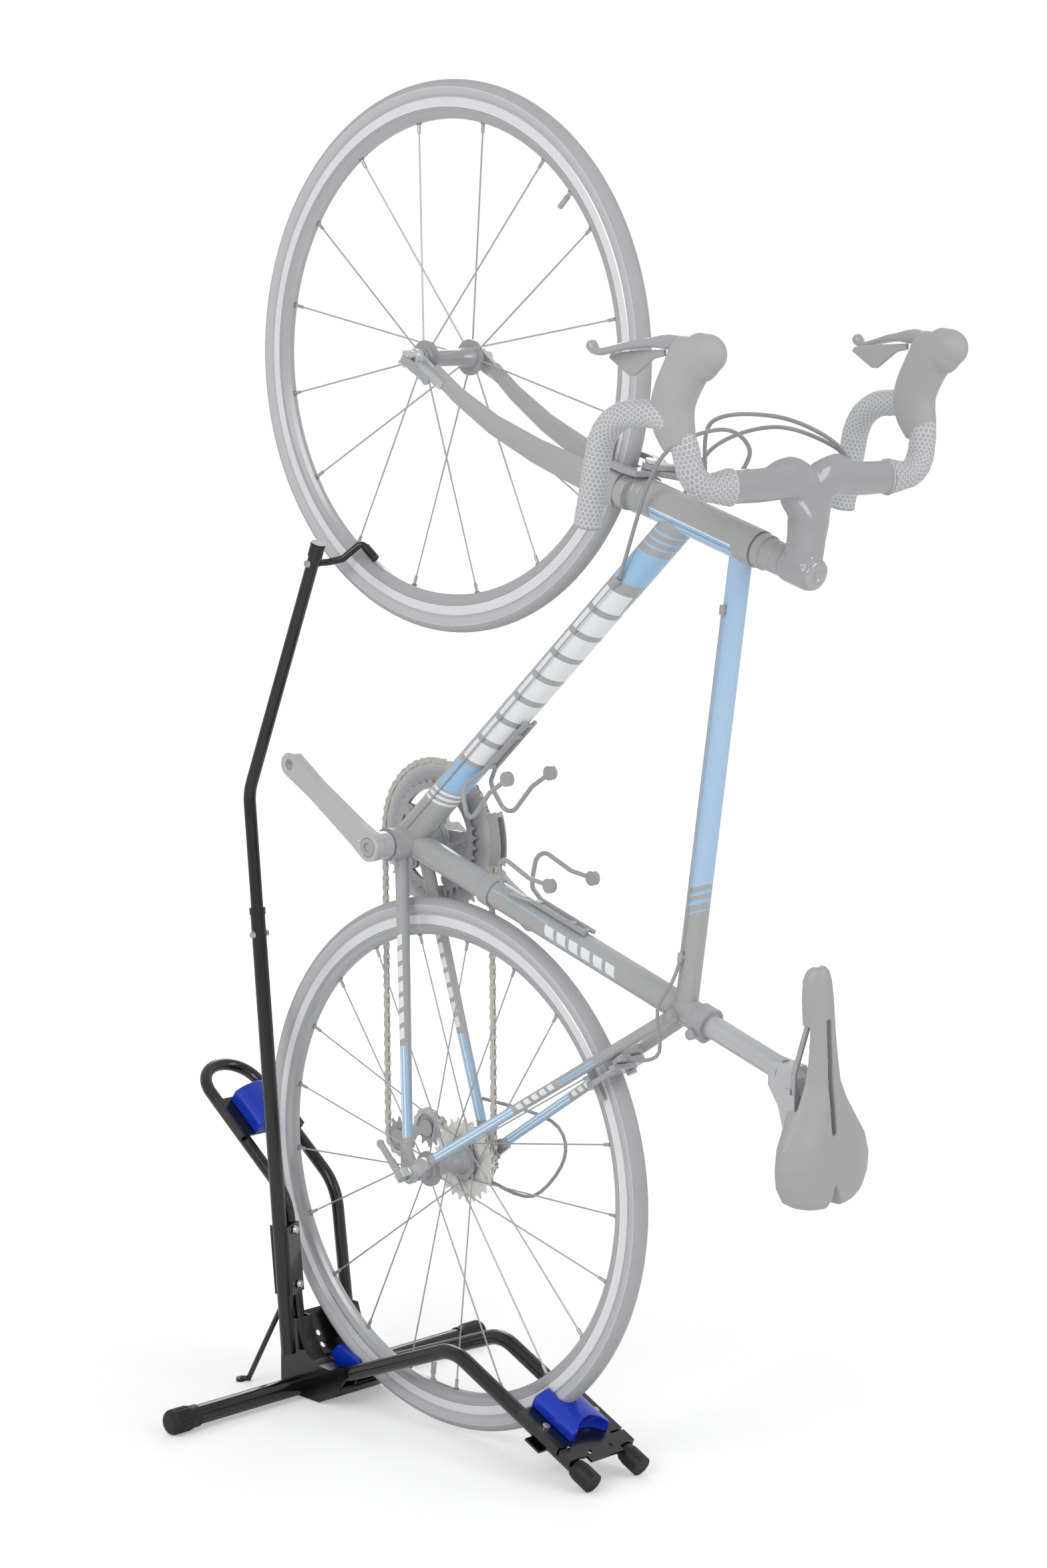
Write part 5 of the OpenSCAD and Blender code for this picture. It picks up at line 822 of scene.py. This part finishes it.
# ---------------------------------------------------------------- bar tape
# Padded tape wound round the drops in an overlapping helix, printed with pale outlines of
# hexagons, ended with a band of clear tape at the bar top and a plug at each drop.
tape_radius = 14.9
tape_print = finish("tape_print", tone(232, 232, 234), 0.5, shade=0.02, grain=0.00006, grain_scale=900)
tree = tape_print.node_tree
wrap = new_node(tree, "ShaderNodeUVMap", {"uv_map": "wrap"})
cells = new_node(tree, "ShaderNodeVectorMath", {"operation": "MULTIPLY"})
cells.inputs[1].default_value = (1 / 0.0055, 17.0, 0)
tree.links.new(wrap.outputs[0], cells.inputs[0])
period = (math.sqrt(3), 1.0, 1.0)
near = []
for shift in ((0, 0, 0), (math.sqrt(3) / 2, 0.5, 0)):
    moved = new_node(tree, "ShaderNodeVectorMath", {"operation": "ADD"})
    moved.inputs[1].default_value = shift
    folded = new_node(tree, "ShaderNodeVectorMath", {"operation": "MODULO"})
    folded.inputs[1].default_value = period
    centred = new_node(tree, "ShaderNodeVectorMath", {"operation": "SUBTRACT"})
    centred.inputs[1].default_value = (math.sqrt(3) / 2, 0.5, 0)
    positive = new_node(tree, "ShaderNodeVectorMath", {"operation": "ABSOLUTE"})
    parts = new_node(tree, "ShaderNodeSeparateXYZ")
    for a, b in ((cells, moved), (moved, folded), (folded, centred), (centred, positive), (positive, parts)):
        tree.links.new(a.outputs[0], b.inputs[0])
    slope = math_node(tree, "ADD", math_node(tree, "MULTIPLY", parts.outputs[1], 0.5),
                      math_node(tree, "MULTIPLY", parts.outputs[0], math.sqrt(3) / 2))
    near.append(math_node(tree, "MAXIMUM", slope, parts.outputs[1]))
paint_over(tree, math_node(tree, "LESS_THAN", math_node(tree, "MINIMUM", *near), 0.43), tone(184, 184, 187))
clear_band = finish("clear_band", tone(214, 214, 216), 0.12, coat=0.8, shade=0.02)
for side in (-1, 1):
    corners = [bar_middle + Vector((0, side * 0.133, 0)), bar_middle + Vector((0, side * 0.189, 0))]
    corners += [bar_axis + Vector(p) / 1000 for p in (
        (-8.5, side * 209, 69), (-110, side * 214, 66), (-137, side * 214, -56))]
    line = bent(corners, (0.035, 0.043, 0.050), 0.0015)

    def wound(gone, share, side=side):
        close = max(0.0, min(1.0, (0.085 - gone) / 0.02))
        pitch = 0.0095 * close + 0.026 * (1 - close)
        flat = 5.5 * max(0.0, 1 - gone / 0.030)
        ring = []
        for k in range(48):
            turn = k / 48
            lap = ((gone / pitch) + side * turn) % 1.0
            radius = tape_radius + (0.9 if close > 0.5 else 0.35) * (1 - lap)
            a, b = math.cos(2 * math.pi * turn), math.sin(2 * math.pi * turn)
            ring.append((radius * a, (radius + flat) * b))
        return ring

    name = "left" if side < 0 else "right"
    mesh = solid(name + "_tape", [sweep(line, wound, Vector((1, 0, 0)))])
    piece = show(name + "_bar_tape", mesh, tape_print, "steering", "tape_grey")
    if side < 0:
        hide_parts("bar_tape")
    band_line = [bar_middle + Vector((0, side * (131.0 + k), 0)) / 1000 for k in range(11)]
    show(name + "_finishing_band", solid(name + "_band", [sweep(
        band_line, lambda gone, share: oval(13.6, 20.6 - 2.0 * share, 2.2), Vector((1, 0, 0)))]),
        clear_band, "steering", "tape_grey")
    end = line[-1]
    out = (line[-1] - line[-2]).normalized()
    plug_sizes = (12.0, 14.6, 15.0, 14.2, 10.0, 2.0)
    plug_line = [end + out * h for h in (-0.001, 0.0, 0.0008, 0.0018, 0.0024, 0.0025)]
    show(name + "_plug", solid(name + "_plug", [sweep(plug_line, lathe(plug_sizes), Vector((1, 0, 0)))]),
         satin_grey, "steering", "tape_grey")

# ---------------------------------------------------------------- hoods and levers
# Rubber hoods over the lever brackets, rough where the hand holds them, with smooth lever
# blades and flat shift paddles in polished grey.
hood_rubber = finish("hood_rubber", tone(180, 180, 181), 0.5, shade=0.03, grain=0.00006, grain_scale=1100)
hood_y, pivot_x, pivot_z = 203, 561.955, 1363.218


def egg(centre, size_x, size_y, size_z, rings=14):
    """An ellipsoid of those radii in millimetres."""
    turns = [math.pi * (0.04 + 0.92 * k / rings) for k in range(rings + 1)]
    line = [centre - Vector((size_x * math.cos(t) / 1000, 0, 0)) for t in turns]
    return sweep(line, lambda gone, share: oval(size_y * math.sin(turns[round(share * rings)]),
                                                size_z * math.sin(turns[round(share * rings)])), y_axis)


# Height, X, half length and half width of the hood, from the tape up to its top
hood_rows = flowing([Vector(row) for row in (
    (1258, 569, 17.5, 16), (1272, 564, 22, 18), (1284, 560, 24.5, 18.5), (1300, 558.5, 26, 18.5),
    (1315, 563, 26.5, 18), (1330, 571, 27, 17.5), (1345, 580, 28, 17), (1358, 584, 27, 16),
    (1368, 586, 23, 14), (1374, 587, 15, 9))], 3.0)
last_row = len(hood_rows) - 1
hood_parts = []
for side in (-1, 1):
    hood_line = [at(row[1], side * hood_y, row[0]) for row in hood_rows]
    hood_parts.append(sweep(hood_line, lambda gone, share: oval(
        *hood_rows[round(share * last_row)][2:], 2.3), Vector((1, 0, 0))))
    for knob in ((607, 1357, 25, 17, 22), (599, 1350, 24, 17.5, 23), (598, 1366, 18, 14, 14)):
        hood_parts.append(egg(at(knob[0], side * hood_y, knob[1]), *knob[2:]))
hoods = settle("lever_hoods_cast", solid("lever_hoods", hood_parts), 0.0012, 26, hood_rubber, "steering")
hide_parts("lever_hoods")

lever_places = ((10, 0, 3), (0, 0, 6), (-20, 1, 6), (-40, 6, 4.5), (-62, 12, 1), (-80, 16, -3), (-92, 18, -5),
                (-100, 19, -3), (-104, 19, 1))
lever_thick = ((0, 7), (0.15, 8.5), (0.35, 5.6), (0.7, 4.2), (0.9, 4.4), (1, 6.0))
lever_wide = ((0, 9), (0.2, 9), (0.5, 7.5), (0.85, 6.2), (1, 6.0))
paddle_edge = ((-14, -2), (-14, -9), (-30, -12), (-58, -31), (-66, -31), (-96, -12), (-92, -7), (-60, -4))
for side, name in ((-1, "left"), (1, "right")):
    node = "brake_lever_" + name
    line = flowing([at(pivot_x + x, side * (hood_y + y), pivot_z + z) for x, y, z in lever_places], 0.003)
    blade = sweep(line, lambda gone, share: oval(steps(lever_thick, share), steps(lever_wide, share), 2.4),
                  Vector((0, 0, 1)))
    tip = egg(line[-1], 6.6, 6.6, 6.6)
    lever = settle(node + "_cast", solid(node, [blade, tip]), 0.0008, 7, gloss_grey, nodes[node]["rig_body"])
    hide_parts(node)
    node = "shift_paddle_" + name
    flat = middle(node).y
    rim = [[at(pivot_x + x, 0, pivot_z + z) + Vector((0, flat + k, 0)) for x, z in paddle_edge]
           for k in (-0.002, 0.002)]
    n = len(paddle_edge)
    faces = [tuple(range(n))[::-1], tuple(range(n, 2 * n))]
    faces += [(k, (k + 1) % n, n + (k + 1) % n, n + k) for k in range(n)]
    marks = [((0, 0),) * len(f) for f in faces]
    paddle = settle(node + "_cast", solid(node, [(rim[0] + rim[1], faces, marks)]), 0.0007, 5, satin_grey,
                    nodes[node]["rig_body"])
    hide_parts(node)

# ---------------------------------------------------------------- crank cap
# A threaded cap with a round recess closes the hollow spindle at the left crank arm.
cap_rows = ((-60.0, 11.6), (-74.6, 11.6), (-75.3, 10.9), (-75.3, 6.2), (-73.2, 6.0))
cap_axis = [bottom_bracket + Vector((0, y / 1000, 0)) for y, r in cap_rows]
cap_shape = sweep(cap_axis, lathe([r for y, r in cap_rows], 30), Vector((1, 0, 0)))
show("crank_cap", solid("crank_cap", [cap_shape]), satin_grey, "cranks", "parts_grey")

# ---------------------------------------------------------------- cables
# Plastic covered housings with a slight sheen run from the levers to the frame.
housing = finish("cable_housing", tone(160, 160, 162), 0.35, coat=0.3, shade=0.03)
dress(housing, "rear_housings")
down_stop_x, down_stop_z, down_stop_y = 311.2, 1092.0, 24
cable_points = [
    [bar_middle + Vector((-14, side * 110, 0)) / 1000]
    + [bar_axis + Vector(p) / 1000 for p in (
        (-30, side * 70, 24), (-90, side * 44, 44), (-170, side * 38, 24), (-212, side * 36, -20))]
    + [at(down_stop_x, side * down_stop_y, down_stop_z)] for side in (-1, 1)]
cable_points.append([bar_middle + Vector((-15, 100, 0)) / 1000]
                    + [bar_axis + Vector(p) / 1000 for p in ((-22, 60, 30), (-60, 6, 58), (-130, -22, 50))]
                    + [at(393.0, 29, 1204.9), at(364.25, 31, 1205.4)])
show("front_housings", solid("front_housings", [
    sweep(flowing(points, 0.004), lathe([2.4], 12), y_axis) for points in cable_points]), housing,
     nodes["front_cables"]["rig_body"], "tape_grey", "front_cables")
